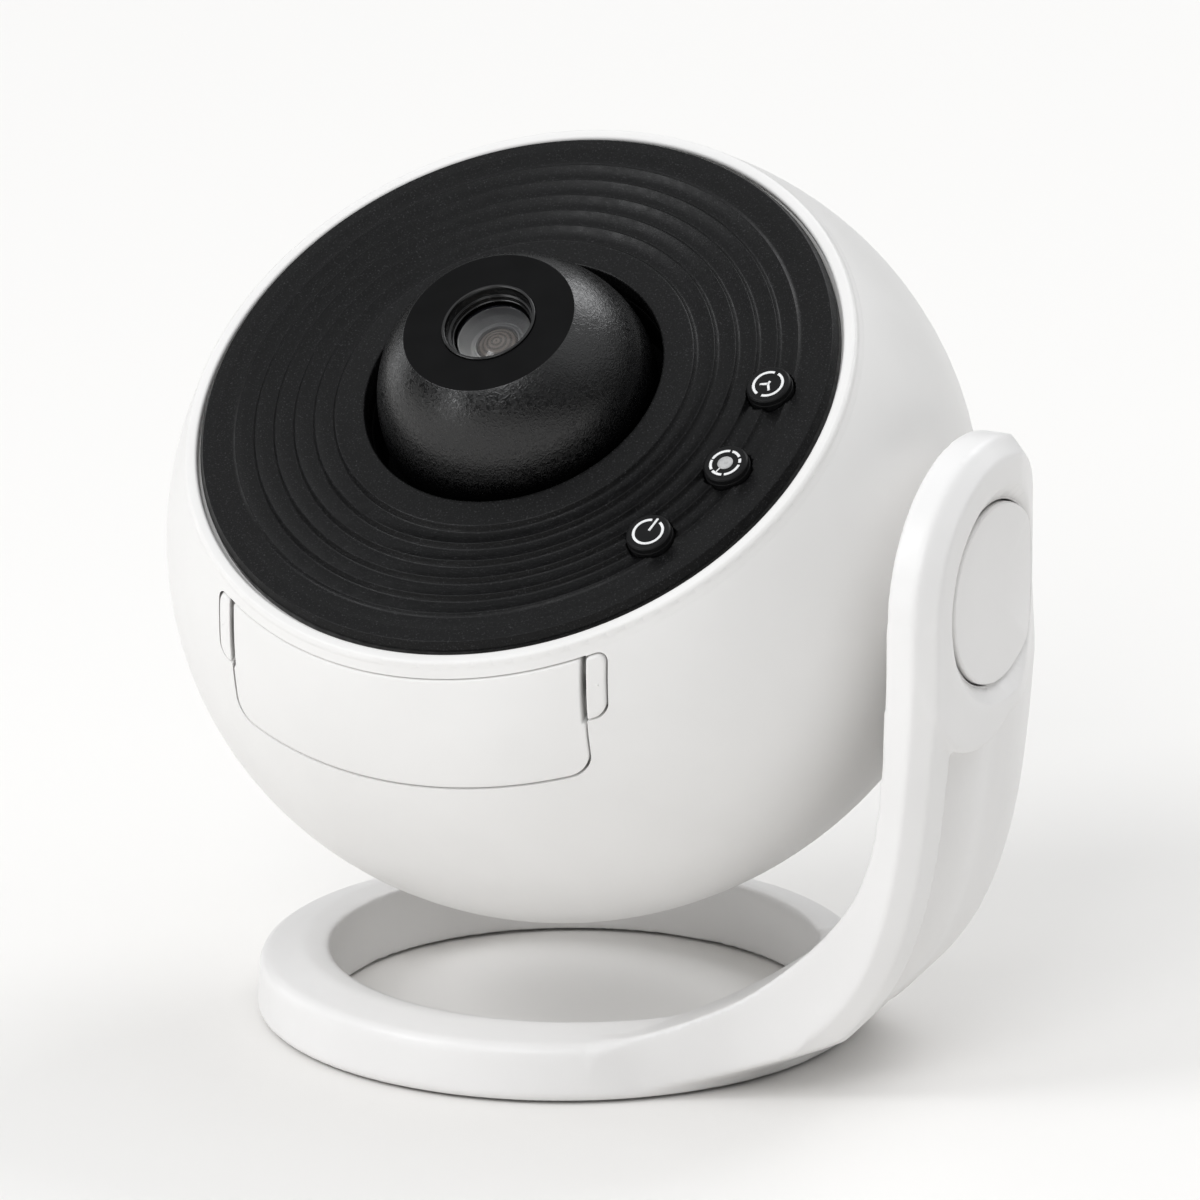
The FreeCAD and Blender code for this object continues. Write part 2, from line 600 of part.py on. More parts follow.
def disc_carrier():
    """Turning ring the film disc drops into; its rim is driven by the roller."""
    rim = DISC_R + 2.0
    pts = [(25.6, 17.2), (rim - 0.4, 17.2), (rim, 17.6), (rim, 20.0), (rim - 0.4, 20.4), (DISC_R + 0.2, 20.4),
           (DISC_R + 0.2, 19.2), (25.6, 19.2)]
    body = spin_pts(pts)
    for k in range(3):
        x, y = at_angle(DISC_R + 0.2, 120 * k)
        body = body.cut(drill(x, y, 19.2, 25, 1.1))
    return solid(body)


def film_frame():
    """Plastic rim of the star disc, grooved for the film."""
    pts = [(24.0, 19.2), (DISC_R, 19.2), (DISC_R, 20.4), (24.0, 20.4), (24.0, 19.95), (25.1, 19.95), (25.1, 19.65),
           (24.0, 19.65)]
    body = spin_pts(pts)
    x, y = at_angle(DISC_R + 0.2, 0)
    return solid(body.fuse(cyl(1.0, 19.3, 20.4, x, y)).removeSplitter())


def film_sheet():
    """Star film."""
    return cyl(25.0, 19.7, 19.9)


def tray_rails():
    """Two grooved rails for the tray tongues."""
    out = []
    for s in (-1, 1):
        rail = box(35.2, 39.4, WALL_Y + 2.4, 38.0, DECK + 2.0, 22.4)
        rail = rail.cut(box(35.0, 37.1, WALL_Y - 3.4, 40.0, 17.1, 18.9))
        if s < 0:
            rail = rail.mirror(ORIGIN, EX)
        out.append(solid(rail))
    return out


# ---- drive ----------------------------------------------------------------------------------------------
ROLLER_R = 5.0
ROLLER_Y = DISC_R + 2.0 + ROLLER_R + 0.03


def drive_roller():
    """Roller hub with its shaft and a flat for grip."""
    body = cyl(3.6, 17.3, 20.3, 0, ROLLER_Y).fuse(cyl(1.0, 11.2, 20.6, 0, ROLLER_Y)).removeSplitter()
    body = body.cut(tube(1.8, 2.8, 19.6, 21.0, 0, ROLLER_Y))
    return solid(body)


def roller_tyre():
    """Rubber tyre of the roller."""
    return tube(3.6, ROLLER_R, 17.4, 20.2, 0, ROLLER_Y)


def drive_motor():
    """Flat geared motor with two ears below the deck."""
    body = cyl(10.0, -2.0, 10.8, 0, ROLLER_Y).fuse([cyl(4.5, 10.8, DECK - 0.1, 0, ROLLER_Y)])
    body = body.fuse([box(-15.5, 15.5, ROLLER_Y - 3.4, ROLLER_Y + 3.4, 9.6, 10.8)])
    body = body.removeSplitter().cut(cyl(1.0 + RUN, 11.0, 20.0, 0, ROLLER_Y))
    for x in (-13.0, 13.0):
        body = body.cut(drill(x, ROLLER_Y, 0, 20, 1.3))
    return solid(body)


def motor_screws():
    """Two screws that hang the motor under the deck."""
    return [screw(x, ROLLER_Y, 8.2, 14.2, 2.3, 1.2, 1.4) for x in (-13.0, 13.0)]


# ---- chassis and lamp -----------------------------------------------------------------------------------
LAMP_Z = -12.0          # lower end of the lamp tube


def chassis():
    """Deck with the lamp tube, stand-offs for the motor and holes for the lugs."""
    deck = cyl(LUG_R + 3.2, DECK, DECK + 2.0)
    shaft = cyl(22.4, LAMP_Z, DECK + 1.0)
    flange = cyl(27.5, LAMP_Z, LAMP_Z + 2.4)
    parts = [shaft, flange]
    for x in (-13.0, 13.0):
        parts.append(cyl(2.6, 10.8, DECK + 1.0, x, ROLLER_Y))
    for k in range(6):
        rib = box(-0.9, 0.9, 21.5, 27.0, LAMP_Z + 1.0, DECK + 0.5)
        rib.rotate(ORIGIN, EZ, 60 * k + 30)
        parts.append(rib)
    body = fuse(deck, *parts)
    body = body.cut(cyl(20.0, 8.0, 20.0)).cut(cyl(18.6, -20.0, 20.0))
    body = body.cut(cyl(5.2, 5.0, 20.0, 0, ROLLER_Y))
    for x in (-13.0, 13.0):
        body = body.cut(drill(x, ROLLER_Y, 0, 20, 1.22))
    for deg in LUG_AT:
        x, y = at_angle(LUG_R, deg)
        body = body.cut(drill(x, y, 0, 30, 1.5))
    for k in range(3):
        x, y = at_angle(24.6, 120 * k)
        body = body.cut(drill(x, y, -20, LAMP_Z + 6.0, 1.12))
    for s in (-1, 1):
        x0, x1 = sorted((s * 44.0, s * 54.0))
        body = body.cut(box(x0, x1, -18, 18, 0, 30))
    return solid(body)


def chassis_screws():
    """Four screws from the deck into the lugs."""
    return [screw(*at_angle(LUG_R, deg), DECK + 4.0, DECK - 3.8, 2.6, 1.3, 2.0) for deg in LUG_AT]


def condenser_lens():
    """Large plano-convex condenser."""
    edges = [line((19.9, 8.0), (19.9, 9.2)), lens_arc((19.9, 9.2), 14.8),
             line((0.0, 14.8), (0.0, 8.0)), line((0.0, 8.0), (19.9, 8.0))]
    return spin(edges)


def led_board():
    """Metal-core board of the lamp."""
    body = cyl(18.0, LAMP_Z - 1.6, LAMP_Z)
    return body


def led_emitter():
    """LED package with its clear dome."""
    body = box(-3.4, 3.4, -3.4, 3.4, LAMP_Z, LAMP_Z + 0.9)
    dome = Part.makeSphere(2.6, V(0, 0, LAMP_Z + 0.8)).common(cyl(4.0, LAMP_Z + 0.5, LAMP_Z + 5.0))
    return fuse(body, dome)


def heat_sink():
    """Aluminium heat sink: base disc with parallel fins, bolted under the lamp tube."""
    z = LAMP_Z - 1.6
    parts = [tube(18.1, 27.5, z, LAMP_Z)]
    body = cyl(27.5, z - 3.4, z)
    for k in range(-4, 5):
        half = math.sqrt(26.0 ** 2 - (5.6 * k) ** 2)
        parts.append(box(5.6 * k - 0.8, 5.6 * k + 0.8, -half, half, z - 16.0, z - 3.0))
    body = fuse(body, *parts)
    for k in range(3):
        x, y = at_angle(24.6, 120 * k)
        body = body.cut(drill(x, y, -60, 0, 1.3)).cut(drill(x, y, -60, z - 3.4, 2.6))
    return solid(body)


def lamp_screws():
    """Three screws that clamp the heat sink to the lamp tube."""
    z = LAMP_Z - 1.6 - 3.4 - 1.6
    return [screw(*at_angle(24.6, 120 * k), z, LAMP_Z + 5.6, 2.3, 1.1, 1.6) for k in range(3)]


# ---- electronics ----------------------------------------------------------------------------------------
def main_board():
    """Main circuit board with its tall components moulded on."""
    z = BOARD_Z
    body = box(-31.0, 31.0, -23.0, 23.0, z, z + 1.6)
    parts = [box(-14.0, -4.0, -10.0, 0.0, z + 1.0, z + 3.4), cyl(4.0, z + 1.0, z + 7.5, 12.0, -8.0),
             cyl(3.2, z + 1.0, z + 6.5, 21.0, 8.0), box(-24.0, -16.0, 6.0, 16.0, z + 1.0, z + 5.5),
             box(2.0, 12.0, 8.0, 14.0, z + 1.0, z + 4.0)]
    body = fuse(body, *parts)
    for x in (-26.0, 26.0):
        for y in (-18.0, 18.0):
            body = body.cut(drill(x, y, z - 2, z + 4, 1.2))
    return solid(body)


def main_board_screws():
    """Four screws of the main board."""
    return [screw(x, y, BOARD_Z + 3.0, BOARD_Z - 5.6, 2.0, 1.0, 1.4) for x in (-26.0, 26.0) for y in (-18.0, 18.0)]


def power_inlet():
    """Power inlet: square body inside, round nose in the rear cap."""
    y = INLET_Y
    z = -ball_z(INLET_Y + 5.5, WALL) + 0.4
    body = box(-5.5, 5.5, y - 5.5, y + 5.5, z, z + 11.0)
    nose = cyl(4.1, -ball_z(INLET_Y + 4.1) + 0.6, z + 1.0, 0, y)
    body = fuse(body, nose)
    hole_z = z + 8.0
    body = body.cut(tube(1.0, 2.8, -80, hole_z, 0, y))
    return solid(body)


# ---- pivot ----------------------------------------------------------------------------------------------
SHAFT_R = 7.0
STOP_R = 14.0           # radius of the stop pin
PIN_R = 1.25
GROOVE = 3.0            # depth of the groove for the stop pin in the hub
HEX_X = ARM_IN + 2.2    # seat of the shaft head in the arm
CAP_X = ARM_IN + 4.7    # seat of the pivot cap


def pivot_hub():
    """Hub of the ball: flange inside, barrel through the wall, end groove for the stop pin."""
    body = fuse(cyl(22.5, HUB_IN, HUB_SEAT), cyl(HUB_R, HUB_SEAT - 0.5, HUB_OUT))
    body = on_x(body.cut(cyl(SHAFT_R + RUN, 0, 100)))
    x0, x1 = HUB_OUT - GROOVE, HUB_OUT + 6.0
    groove = Part.makePolygon([V(x0, STOP_R - 1.4, 0), V(x1, STOP_R - 1.4, 0), V(x1, STOP_R + 1.4, 0),
                               V(x0, STOP_R + 1.4, 0), V(x0, STOP_R - 1.4, 0)])
    sweep = solid(Part.Face(groove).revolve(ORIGIN, EX, 180.0))
    ends = [Part.makeCylinder(1.4, 10, V(x0, s * STOP_R, 0), EX) for s in (-1, 1)]
    body = body.cut(sweep).cut(ends[0]).cut(ends[1])
    for k in range(3):
        hole = on_x(cyl(1.5, HUB_IN - 5.0, HUB_SEAT + 8.0))
        hole.translate(V(0, *at_angle(19.6, 120 * k)))
        body = body.cut(hole)
    return solid(body)


def hub_screws():
    """Three screws that clamp the hub flange to the housing."""
    out = []
    for k in range(3):
        one = on_x(screw(0, 0, HUB_IN - 1.8, HUB_SEAT + 4.3, 2.5, 1.3, 1.8))
        one.translate(V(0, *at_angle(19.6, 120 * k)))
        out.append(one)
    return out


def pivot_shaft():
    """Hollow shaft with a hexagonal head seated in the arm."""
    body = fuse(cyl(SHAFT_R, HUB_IN - 8.5, HEX_X + 0.4), hexagon(12.4, HEX_X, HEX_X + 2.1))
    body = on_x(body.cut(cyl(4.2, 0, 100)))
    return solid(body)


def pivot_nut():
    """Hexagonal nut on the inner end of the shaft."""
    return solid(on_x(hexagon(11.4, HUB_IN - 7.0, HUB_IN - 2.2).cut(cyl(SHAFT_R + 0.03, 0, 100))))


def spring_washer():
    """Dished spring washer that keeps the friction even."""
    low, high = HUB_IN - 2.18, HUB_IN - 1.22
    pts = [(SHAFT_R + 0.15, low), (SHAFT_R + 0.15, low + 0.58), (11.5, high), (11.5, high - 0.58)]
    return solid(on_x(spin_pts(pts)))


def friction_washers():
    """Friction washers on both sides of the hub."""
    inner = solid(on_x(tube(SHAFT_R + 0.1, 12.0, HUB_IN - 1.2, HUB_IN - 0.02)))
    outer = solid(on_x(tube(SHAFT_R + 0.1, 11.8, HUB_OUT + 0.02, ARM_IN)))
    return [inner, outer]


def stop_pin():
    """Steel pin in the arm that runs in the groove of the hub."""
    x0 = HUB_OUT - GROOVE + 0.4
    return Part.makeCylinder(PIN_R, ARM_IN + 2.8 - x0, V(x0, 0, STOP_R), EX)


def pivot_cap():
    """Flat round cap that closes the boss of the arm."""
    top = CAP_X + 2.3
    pts = [(0.0, CAP_X), (CAP_R, CAP_X), (CAP_R, top - 0.3), (CAP_R - 0.3, top), (0.0, top)]
    return solid(on_x(spin_pts(pts)))


# ---- stand ----------------------------------------------------------------------------------------------
ARM_INNER = [(ARM_IN - dx, z) for dx, z in (
    (0.0, PIVOT_Z), (0.1, 86.0), (1.0, 68.0), (3.0, 53.6), (6.4, 44.4), (11.4, 37.0), (17.4, 30.6), (23.7, 25.0),
    (30.2, 20.3), (38.2, 16.4), (46.2, 13.6), (54.2, 12.6))]
ARM_OUTER = [(ARM_OUT - dx, z) for dx, z in (
    (0.0, PIVOT_Z), (0.6, 80.0), (2.0, 64.0), (3.9, 50.0), (6.7, 38.0), (11.1, 26.5), (17.2, 17.3), (23.8, 10.4),
    (29.5, 5.2), (34.4, 2.2))]
FOOT_Z = 0.6            # underside of the foot above the floor, the pad fills it


def offset_curve(pts, d):
    """Move a curve given by points towards its left side by d."""
    out = []
    for i, (x, z) in enumerate(pts):
        x0, z0 = pts[max(0, i - 1)]
        x1, z1 = pts[min(len(pts) - 1, i + 1)]
        tx, tz = x1 - x0, z1 - z0
        n = math.hypot(tx, tz)
        out.append((x + d * tz / n, z - d * tx / n))
    out[0] = (pts[0][0] - d, pts[0][1])
    return out


def arm_section(y, cut):
    """Closed section of the arm in the plane at y: the outer line lies deeper by cut."""
    inner = [V(x, y, z) for x, z in ARM_INNER]
    outer = [V(x, y, z) for x, z in offset_curve(ARM_OUTER, cut)] + [V(ARM_OUT - 37.5 - 0.2 * cut, y, FOOT_Z)]
    c0 = Part.BSplineCurve()
    c0.interpolate(inner)
    c1 = Part.BSplineCurve()
    c1.interpolate(outer)
    low = V(30.0, y, FOOT_Z)
    edges = [c0.toShape(), Part.makeLine(inner[-1], low), Part.makeLine(low, outer[-1]), c1.toShape(),
             Part.makeLine(outer[0], inner[0])]
    return Part.Wire(edges)


def slab(stations, ruled):
    """Solid through arm sections at (y, cut) stations."""
    return solid(Part.makeLoft([arm_section(y, c) for y, c in stations], True, ruled))


def ring_y(x):
    """Place of the ring's front wall at x."""
    return -math.sqrt(RING_RO ** 2 - (x - RING_X) ** 2) + 0.3


def arm_flare():
    """Web that lets the front of the arm run out into the wall of the ring."""
    band = solid(Part.Face(arm_section(-60.0, 3.7)).extrude(V(0, 34.0, 0)))
    start, end = V(24.0, ring_y(24.0), -5), V(ARM_OUT - 16.0, -ARM_Y, -5)
    way = [start] + [V(x, ring_y(x), -5) for x in (31.0, 37.0)]
    way += [V(x, y - ARM_Y, -5) for x, y in ((45.5, -8.6), (54.0, -3.9), (62.0, -1.4), (70.0, -0.3))] + [end]
    curve = Part.BSplineCurve()
    curve.interpolate(way)
    c, d = V(end.x, -26.5, -5), V(start.x, -26.5, -5)
    plan = Part.Wire([curve.toShape(), Part.makeLine(end, c), Part.makeLine(c, d), Part.makeLine(d, start)])
    return solid(band.common(Part.Face(plan).extrude(V(0, 0, 80))))


def arm_limit():
    """Turned envelope that lets the lower end of the arm run into the round wall of the ring."""
    rise = ((-1.4, FOOT_Z), (0.0, 2.2), (2.8, 4.1), (7.4, 6.5), (13.2, 9.3), (19.8, 13.0), (27.0, 18.2), (34.0, 25.2),
            (42.0, 36.0), (53.0, 56.0))
    pts = [V(RING_RO + dr, 0, z) for dr, z in rise]
    curve = Part.BSplineCurve()
    curve.interpolate(pts)
    end = pts[-1]
    edges = [curve.toShape(), line((end.x, end.z), (end.x, 140.0)), line((end.x, 140.0), (20.0, 140.0)),
             line((20.0, 140.0), (20.0, FOOT_Z)), line((20.0, FOOT_Z), (pts[0].x, FOOT_Z))]
    limit = spin(edges)
    limit.translate(V(RING_X, 0, 0))
    return limit


def arm_disc(r, edge, top):
    """Disc of the arm's head around the pivot, with a bevelled rim."""
    return on_x(spin_pts([(0, ARM_IN), (r, ARM_IN), (r, top - edge), (r - edge, top), (0, top)]))


def arm_head():
    """Round head of the arm: chamfered upper half, boss with a lobe below, rounded off towards the rear."""
    disc = arm_disc(HEAD_R, 3.7, ARM_OUT).common(box(ARM_IN - 4, ARM_OUT + 6, -40, 40, -0.5, 40))
    boss = arm_disc(25.4, 0.6, ARM_OUT)
    lobe = arm_disc(21.0, 0.6, ARM_OUT - 0.01)
    lobe.translate(V(0, -9.0, -8.0))
    a, b, c = V(ARM_OUT + 0.2, 6.0, -40), V(ARM_IN + 6.2, 19.0, -40), V(ARM_IN, 30.0, -40)
    low, far = ARM_IN - 4.2, ARM_OUT + 0.2
    p = [c, V(low, 30.0, -40), V(low, -32, -40), V(far, -32, -40), a]
    plan = Part.Wire([Part.Arc(a, b, c).toShape()] + [Part.makeLine(p[i], p[i + 1]) for i in range(4)])
    trim = Part.Face(plan).extrude(V(0, 0, 80))
    soft = Part.makeSphere(47.4, V(ARM_IN - 24.2, -12.0, 0))
    both = solid(disc.fuse([boss, lobe]).removeSplitter().common(trim).common(soft))
    both.translate(V(0, 0, PIVOT_Z))
    return both


def foot_ring():
    """Ring of the foot: sloping top, soft outer edge, round hole with a soft edge."""
    ro, top = RING_RO, RING_TOP
    edges = [line((0, FOOT_Z), (0, top)), line((0, top), (ro - 9.2, top)), line((ro - 9.2, top), (ro - 3.0, top - 1.7)),
             arc3((ro - 3.0, top - 1.7), (ro - 1.1, top - 2.7), (ro - 0.5, top - 4.5)),
             line((ro - 0.5, top - 4.5), (ro, 2.2)), arc3((ro, 2.2), (ro - 0.4, 1.1), (ro - 1.4, FOOT_Z)),
             line((ro - 1.4, FOOT_Z), (0, FOOT_Z))]
    ring = spin(edges)
    ring.translate(V(RING_X, 0, 0))
    soft_in = (RING_RI, top - 0.7)
    soft_out = (RING_RI + 0.7, top)
    hole = [line((0, -1), (RING_RI, -1)), line((RING_RI, -1), soft_in),
            arc3(soft_in, (RING_RI + 0.2, top - 0.2), soft_out), line(soft_out, (RING_RI + 0.7, 30)),
            line((RING_RI + 0.7, 30), (0, 30)), line((0, 30), (0, -1))]
    return solid(ring.cut(spin(hole)))


BASE_WALL = 2.4         # outer wall of the hollow foot
BASE_SCREW_X = 0.5 * RING_X
BASE_SCREW_R = 0.5 * (RING_RI + RING_RO)


def base_screw_places():
    """Places of the four screws, midway between the hole and the outer wall."""
    for k in range(4):
        x, y = at_angle(BASE_SCREW_R, 45 + 90 * k)
        yield x + BASE_SCREW_X, y


def ring_tube(grow_in, grow_out, z0, z1):
    """Flat ring under the foot: follows the hole inside and the outer wall outside."""
    return cyl(RING_RO - grow_out, z0, z1, RING_X).cut(cyl(RING_RI + grow_in, z0 - 1, z1 + 1))


def stand():
    """Foot ring and side arm in one piece."""
    front = slab([(-ARM_Y, 3.7), (-27.3, 0.0)], True)
    strip = slab([(-27.3, 0.0), (-19.8, 0.0)], True)
    step = slab([(-19.8, 0.0), (-18.6, 3.0)], True)
    rear = slab([(-18.6, 3.0), (-8.0, 2.9), (4.0, 2.9), (13.0, 3.2), (19.5, 4.0), (25.0, 5.6), (28.8, 7.2), (30.8, 8.6)],
                False)
    arm = solid(front.fuse([strip, step, rear, arm_flare()]).cut(cyl(RING_RI, -5, 60)).common(arm_limit()))
    body = solid(foot_ring().fuse([arm, arm_head()]).removeSplitter())
    dish = on_x(spin_pts([(0, CAP_X), (CAP_R + 0.25, CAP_X), (CAP_R + 0.25, CAP_X + 2.6), (CAP_R + 3.6, ARM_OUT),
                          (CAP_R + 5.1, ARM_OUT + 1.1), (0, ARM_OUT + 1.1)]))
    tools = [in_arm(dish), in_arm(on_x(cyl(SHAFT_R + 0.1, ARM_IN - 4, ARM_OUT))),
             in_arm(on_x(hexagon(12.55, HEX_X, HEX_X + 3.6)))]
    tools.append(in_arm(Part.makeCylinder(PIN_R + 0.02, 10.0, V(ARM_IN - 7.0, 0, STOP_R), EX)))
    tools.append(in_arm(on_x(cyl(HUB_R + 1.0, ARM_IN - 6.2, ARM_IN))))
    hollow = ring_tube(2.5, BASE_WALL, -1.0, 9.4)
    for x, y in base_screw_places():
        hollow = hollow.cut(cyl(2.9, 2.4, 20.0, x, y))
    tools.append(hollow)
    for t in tools:
        body = body.cut(t)
    for x, y in base_screw_places():
        body = body.cut(drill(x, y, -1, 8.6, 1.32))
    return solid(body)


def base_cover():
    """Ring plate that closes the foot from below."""
    body = ring_tube(2.6, BASE_WALL + 0.1, FOOT_Z, 2.4)
    for x, y in base_screw_places():
        body = body.cut(drill(x, y, -1, 5, 1.45))
        body = body.cut(Part.makeCone(2.4, 1.4, 1.35, V(x, y, FOOT_Z)))
    return solid(body)


def base_screws():
    """Countersunk screws of the ring plate."""
    out = []
    for x, y in base_screw_places():
        head = Part.makeCone(2.2, 1.3, 1.25, V(x, y, FOOT_Z + 0.05))
        slot = box(x - 1.2, x + 1.2, y - 0.3, y + 0.3, 0, FOOT_Z + 0.6)
        slot = slot.fuse(box(x - 0.3, x + 0.3, y - 1.2, y + 1.2, 0, FOOT_Z + 0.6))
        out.append(solid(head.cut(slot).fuse(cyl(1.3, FOOT_Z + 1.0, 8.2, x, y)).removeSplitter()))
    return out


def base_pad():
    """Non-slip ring glued under the foot."""
    return solid(ring_tube(3.3, 3.2, 0.0, FOOT_Z))


# ---- write every piece -----------------------------------------------------------------------------------
def group(solids):
    """Several loose solids in one file."""
    return Part.makeCompound(solids)


def pieces():
    """Name and placed shape of every piece."""
    ball_pieces = {
        "housing_shell": housing_shell, "rear_cap": rear_cap, "faceplate": faceplate, "dome_well": dome_well,
        "focus_dome": focus_dome, "dome_clip": dome_clip, "lens_bezel": lens_bezel, "lens_barrel": lens_barrel,
        "front_lens": front_lens, "lens_stop": lens_stop, "rear_lens": rear_lens,
        "button_timer": lambda: button("timer"), "button_rotate": lambda: button("rotate"),
        "button_power": lambda: button("power"), "button_board": button_board, "drawer_front": drawer_front,
        "drawer_tray": drawer_tray, "latch_left": lambda: latch(-1), "latch_right": lambda: latch(1),
        "disc_carrier": disc_carrier, "film_frame": film_frame, "film_sheet": film_sheet,
        "drive_roller": drive_roller, "roller_tyre": roller_tyre, "drive_motor": drive_motor, "chassis": chassis,
        "condenser_lens": condenser_lens, "led_board": led_board, "led_emitter": led_emitter, "heat_sink": heat_sink,
        "main_board": main_board, "power_inlet": power_inlet, "pivot_hub": pivot_hub,
        "cap_screws": cap_screws, "well_screws": well_screws, "button_board_screws": button_board_screws,
        "button_switches": button_switches, "tray_rails": tray_rails, "motor_screws": motor_screws,
        "chassis_screws": chassis_screws, "lamp_screws": lamp_screws, "main_board_screws": main_board_screws,
        "hub_screws": hub_screws}
    arm_pieces = {
        "pivot_shaft": pivot_shaft, "pivot_nut": pivot_nut, "spring_washer": spring_washer,
        "friction_washers": friction_washers, "stop_pin": stop_pin, "pivot_cap": pivot_cap}
    foot_pieces = {"stand": stand, "base_cover": base_cover, "base_screws": base_screws, "base_pad": base_pad}
    for table, place in ((ball_pieces, in_ball), (arm_pieces, in_arm), (foot_pieces, lambda s: s)):
        for name, make in table.items():
            made = make()
            yield name, place(group(made) if isinstance(made, list) else made)


def cap_screws():
    """Four screws of the rear cap."""
    return [screw(*at_angle(CAP_SCREW_R, 45 + 90 * k), CAP_SEAT - 6.5, CAP_SEAT + 8.9, 2.7, 1.3, 2.0) for k in range(4)]


def well_screws():
    """Three screws that hang the well under the faceplate."""
    return [screw(*at_angle(WELL_SCREW_R, 60 + 120 * k), 34.6, 41.0, 2.4, 1.1, 1.6) for k in range(3)]


def main():
    """Build, check and write all pieces."""
    os.makedirs("parts", exist_ok=True)
    for name, shape in pieces():
        good = shape.isValid() and all(s.isClosed() and s.Volume > 0 for s in shape.Solids)
        print(name, "solids", len(shape.Solids), "volume", round(shape.Volume), "ok" if good else "BAD")
        shape.exportStep(os.path.join("parts", name + ".step"))


main()
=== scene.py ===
# %% [markdown]
# # A tilting star projector, dressed around its CAD frame
# The real object is a flattened white ball with a black rippled face. A grained dome with a lens sits in
# the face, three keys lie beside it, and a film drawer opens in the ball's skin. One arm that grows out of a
# ring foot holds the ball at its side. The CAD model already has every piece at its place. This notebook
# gives each piece its finish, and builds again, as smooth surfaces, the ones that the eye rests on.

import json
import math

import bmesh
import bpy
import numpy as np
from mathutils import Matrix, Vector


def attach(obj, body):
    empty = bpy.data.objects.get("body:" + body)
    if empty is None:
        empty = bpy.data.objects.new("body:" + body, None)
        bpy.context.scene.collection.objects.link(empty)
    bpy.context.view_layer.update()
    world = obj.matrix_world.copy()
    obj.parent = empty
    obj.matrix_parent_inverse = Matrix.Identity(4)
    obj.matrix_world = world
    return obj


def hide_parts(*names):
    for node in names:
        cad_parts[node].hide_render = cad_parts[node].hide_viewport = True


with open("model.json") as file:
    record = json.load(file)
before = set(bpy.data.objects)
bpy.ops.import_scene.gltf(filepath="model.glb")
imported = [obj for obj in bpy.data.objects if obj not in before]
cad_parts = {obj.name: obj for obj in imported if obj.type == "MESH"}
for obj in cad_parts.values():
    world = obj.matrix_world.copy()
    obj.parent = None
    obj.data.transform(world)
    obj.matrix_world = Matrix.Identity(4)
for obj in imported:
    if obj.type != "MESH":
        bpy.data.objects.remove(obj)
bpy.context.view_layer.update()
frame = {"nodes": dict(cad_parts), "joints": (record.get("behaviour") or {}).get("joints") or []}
MM = 0.001

# %% [markdown]
# ## Two frames
# The ball leans forward in the stand, but it is far easier to describe upright, with its face up, its drawer
# towards -Y and its pivot along +X. The joints of the frame tell where the pivot is and where the face looks,
# so the upright description can be turned into place at the very end, vertex by vertex. The finished objects
# then sit at the origin, unturned, as the CAD nodes do. Turned pieces of the arm's head are described in the
# same way, upright first, and then laid along the pivot axis.

# %% The upright ball and the way into the frame
joints = {j["name"]: j for j in frame["joints"]}
PIVOT = np.array(joints["ball_tilt"]["pos_m"])
FACE = np.array(joints["lens_focus"]["axis"])
SIDE = np.array([1.0, 0.0, 0.0])
BALL_AXES = np.stack([SIDE, np.cross(FACE, SIDE), FACE])
LEAN = math.atan2(-FACE[1], FACE[2])


def in_ball(points):
    """Points of the upright ball, in mm, moved into the frame: turned with the face, lifted to the pivot."""
    return PIVOT + MM * (points @ BALL_AXES)


def in_arm(points):
    """Points turned around Z, in mm, laid along the pivot axis: their Z becomes X, their X points down."""
    return PIVOT * [0, 1, 1] + MM * points[:, [2, 1, 0]] * np.array([1.0, 1.0, -1.0])


def in_place(points):
    """Points in mm that are already described where they stand."""
    return MM * points


print("face leans", round(math.degrees(LEAN), 1), "degrees, pivot at", PIVOT)

# %% [markdown]
# ## From a grid of numbers to a mesh
# Nearly every moulded piece here is a surface over two parameters, such as an angle and a place along a
# profile. Such a surface is a plain numpy grid of points. One helper joins the grid's neighbours with
# four-sided faces, welds seams and poles, turns the faces outward and hands the mesh to Blender. A Weighted
# Normal modifier then lets the large faces rule the shading, so flats look flat and only the rounded edges
# catch light.


# %% Grid to mesh
def quads(rows, cols, wrap_rows, wrap_cols):
    """Corner numbers of the faces between neighbouring grid points, closed round where a side wraps."""
    index = np.arange(rows * cols).reshape(rows, cols)
    if wrap_rows:
        index = np.vstack([index, index[:1]])
    if wrap_cols:
        index = np.hstack([index, index[:, :1]])
    corners = [index[:-1, :-1], index[1:, :-1], index[1:, 1:], index[:-1, 1:]]
    return np.stack(corners, axis=-1).reshape(-1, 4)


def mesh_object(name, points, faces, turn_out=True):
    """Mesh object from points in metres and faces: doubles welded, normals turned out, smooth shaded."""
    mesh = bpy.data.meshes.new(name)
    mesh.from_pydata(points.tolist(), [], faces.tolist() if hasattr(faces, "tolist") else faces)
    work = bmesh.new()
    work.from_mesh(mesh)
    bmesh.ops.remove_doubles(work, verts=work.verts, dist=1e-7)
    bmesh.ops.dissolve_degenerate(work, edges=work.edges, dist=1e-8)
    if turn_out:
        bmesh.ops.recalc_face_normals(work, faces=work.faces)
    work.to_mesh(mesh)
    work.free()
    mesh.polygons.foreach_set("use_smooth", np.ones(len(mesh.polygons), bool))
    obj = bpy.data.objects.new(name, mesh)
    bpy.context.scene.collection.objects.link(obj)
    return obj


def weigh_normals(obj):
    """Face-weighted normals, so that flats stay flat beside rounded edges."""
    weighted = obj.modifiers.new("flat_faces_rule", "WEIGHTED_NORMAL")
    weighted.weight = 80


def dress(obj, body, material, stands_for=()):
    """Let a finished object ride on its body, in its material, in place of CAD nodes."""
    obj.data.materials.append(material)
    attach(obj, body)
    if stands_for:
        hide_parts(*stands_for)
    print(obj.name, "faces", len(obj.data.polygons), "rides on", body)
    return obj


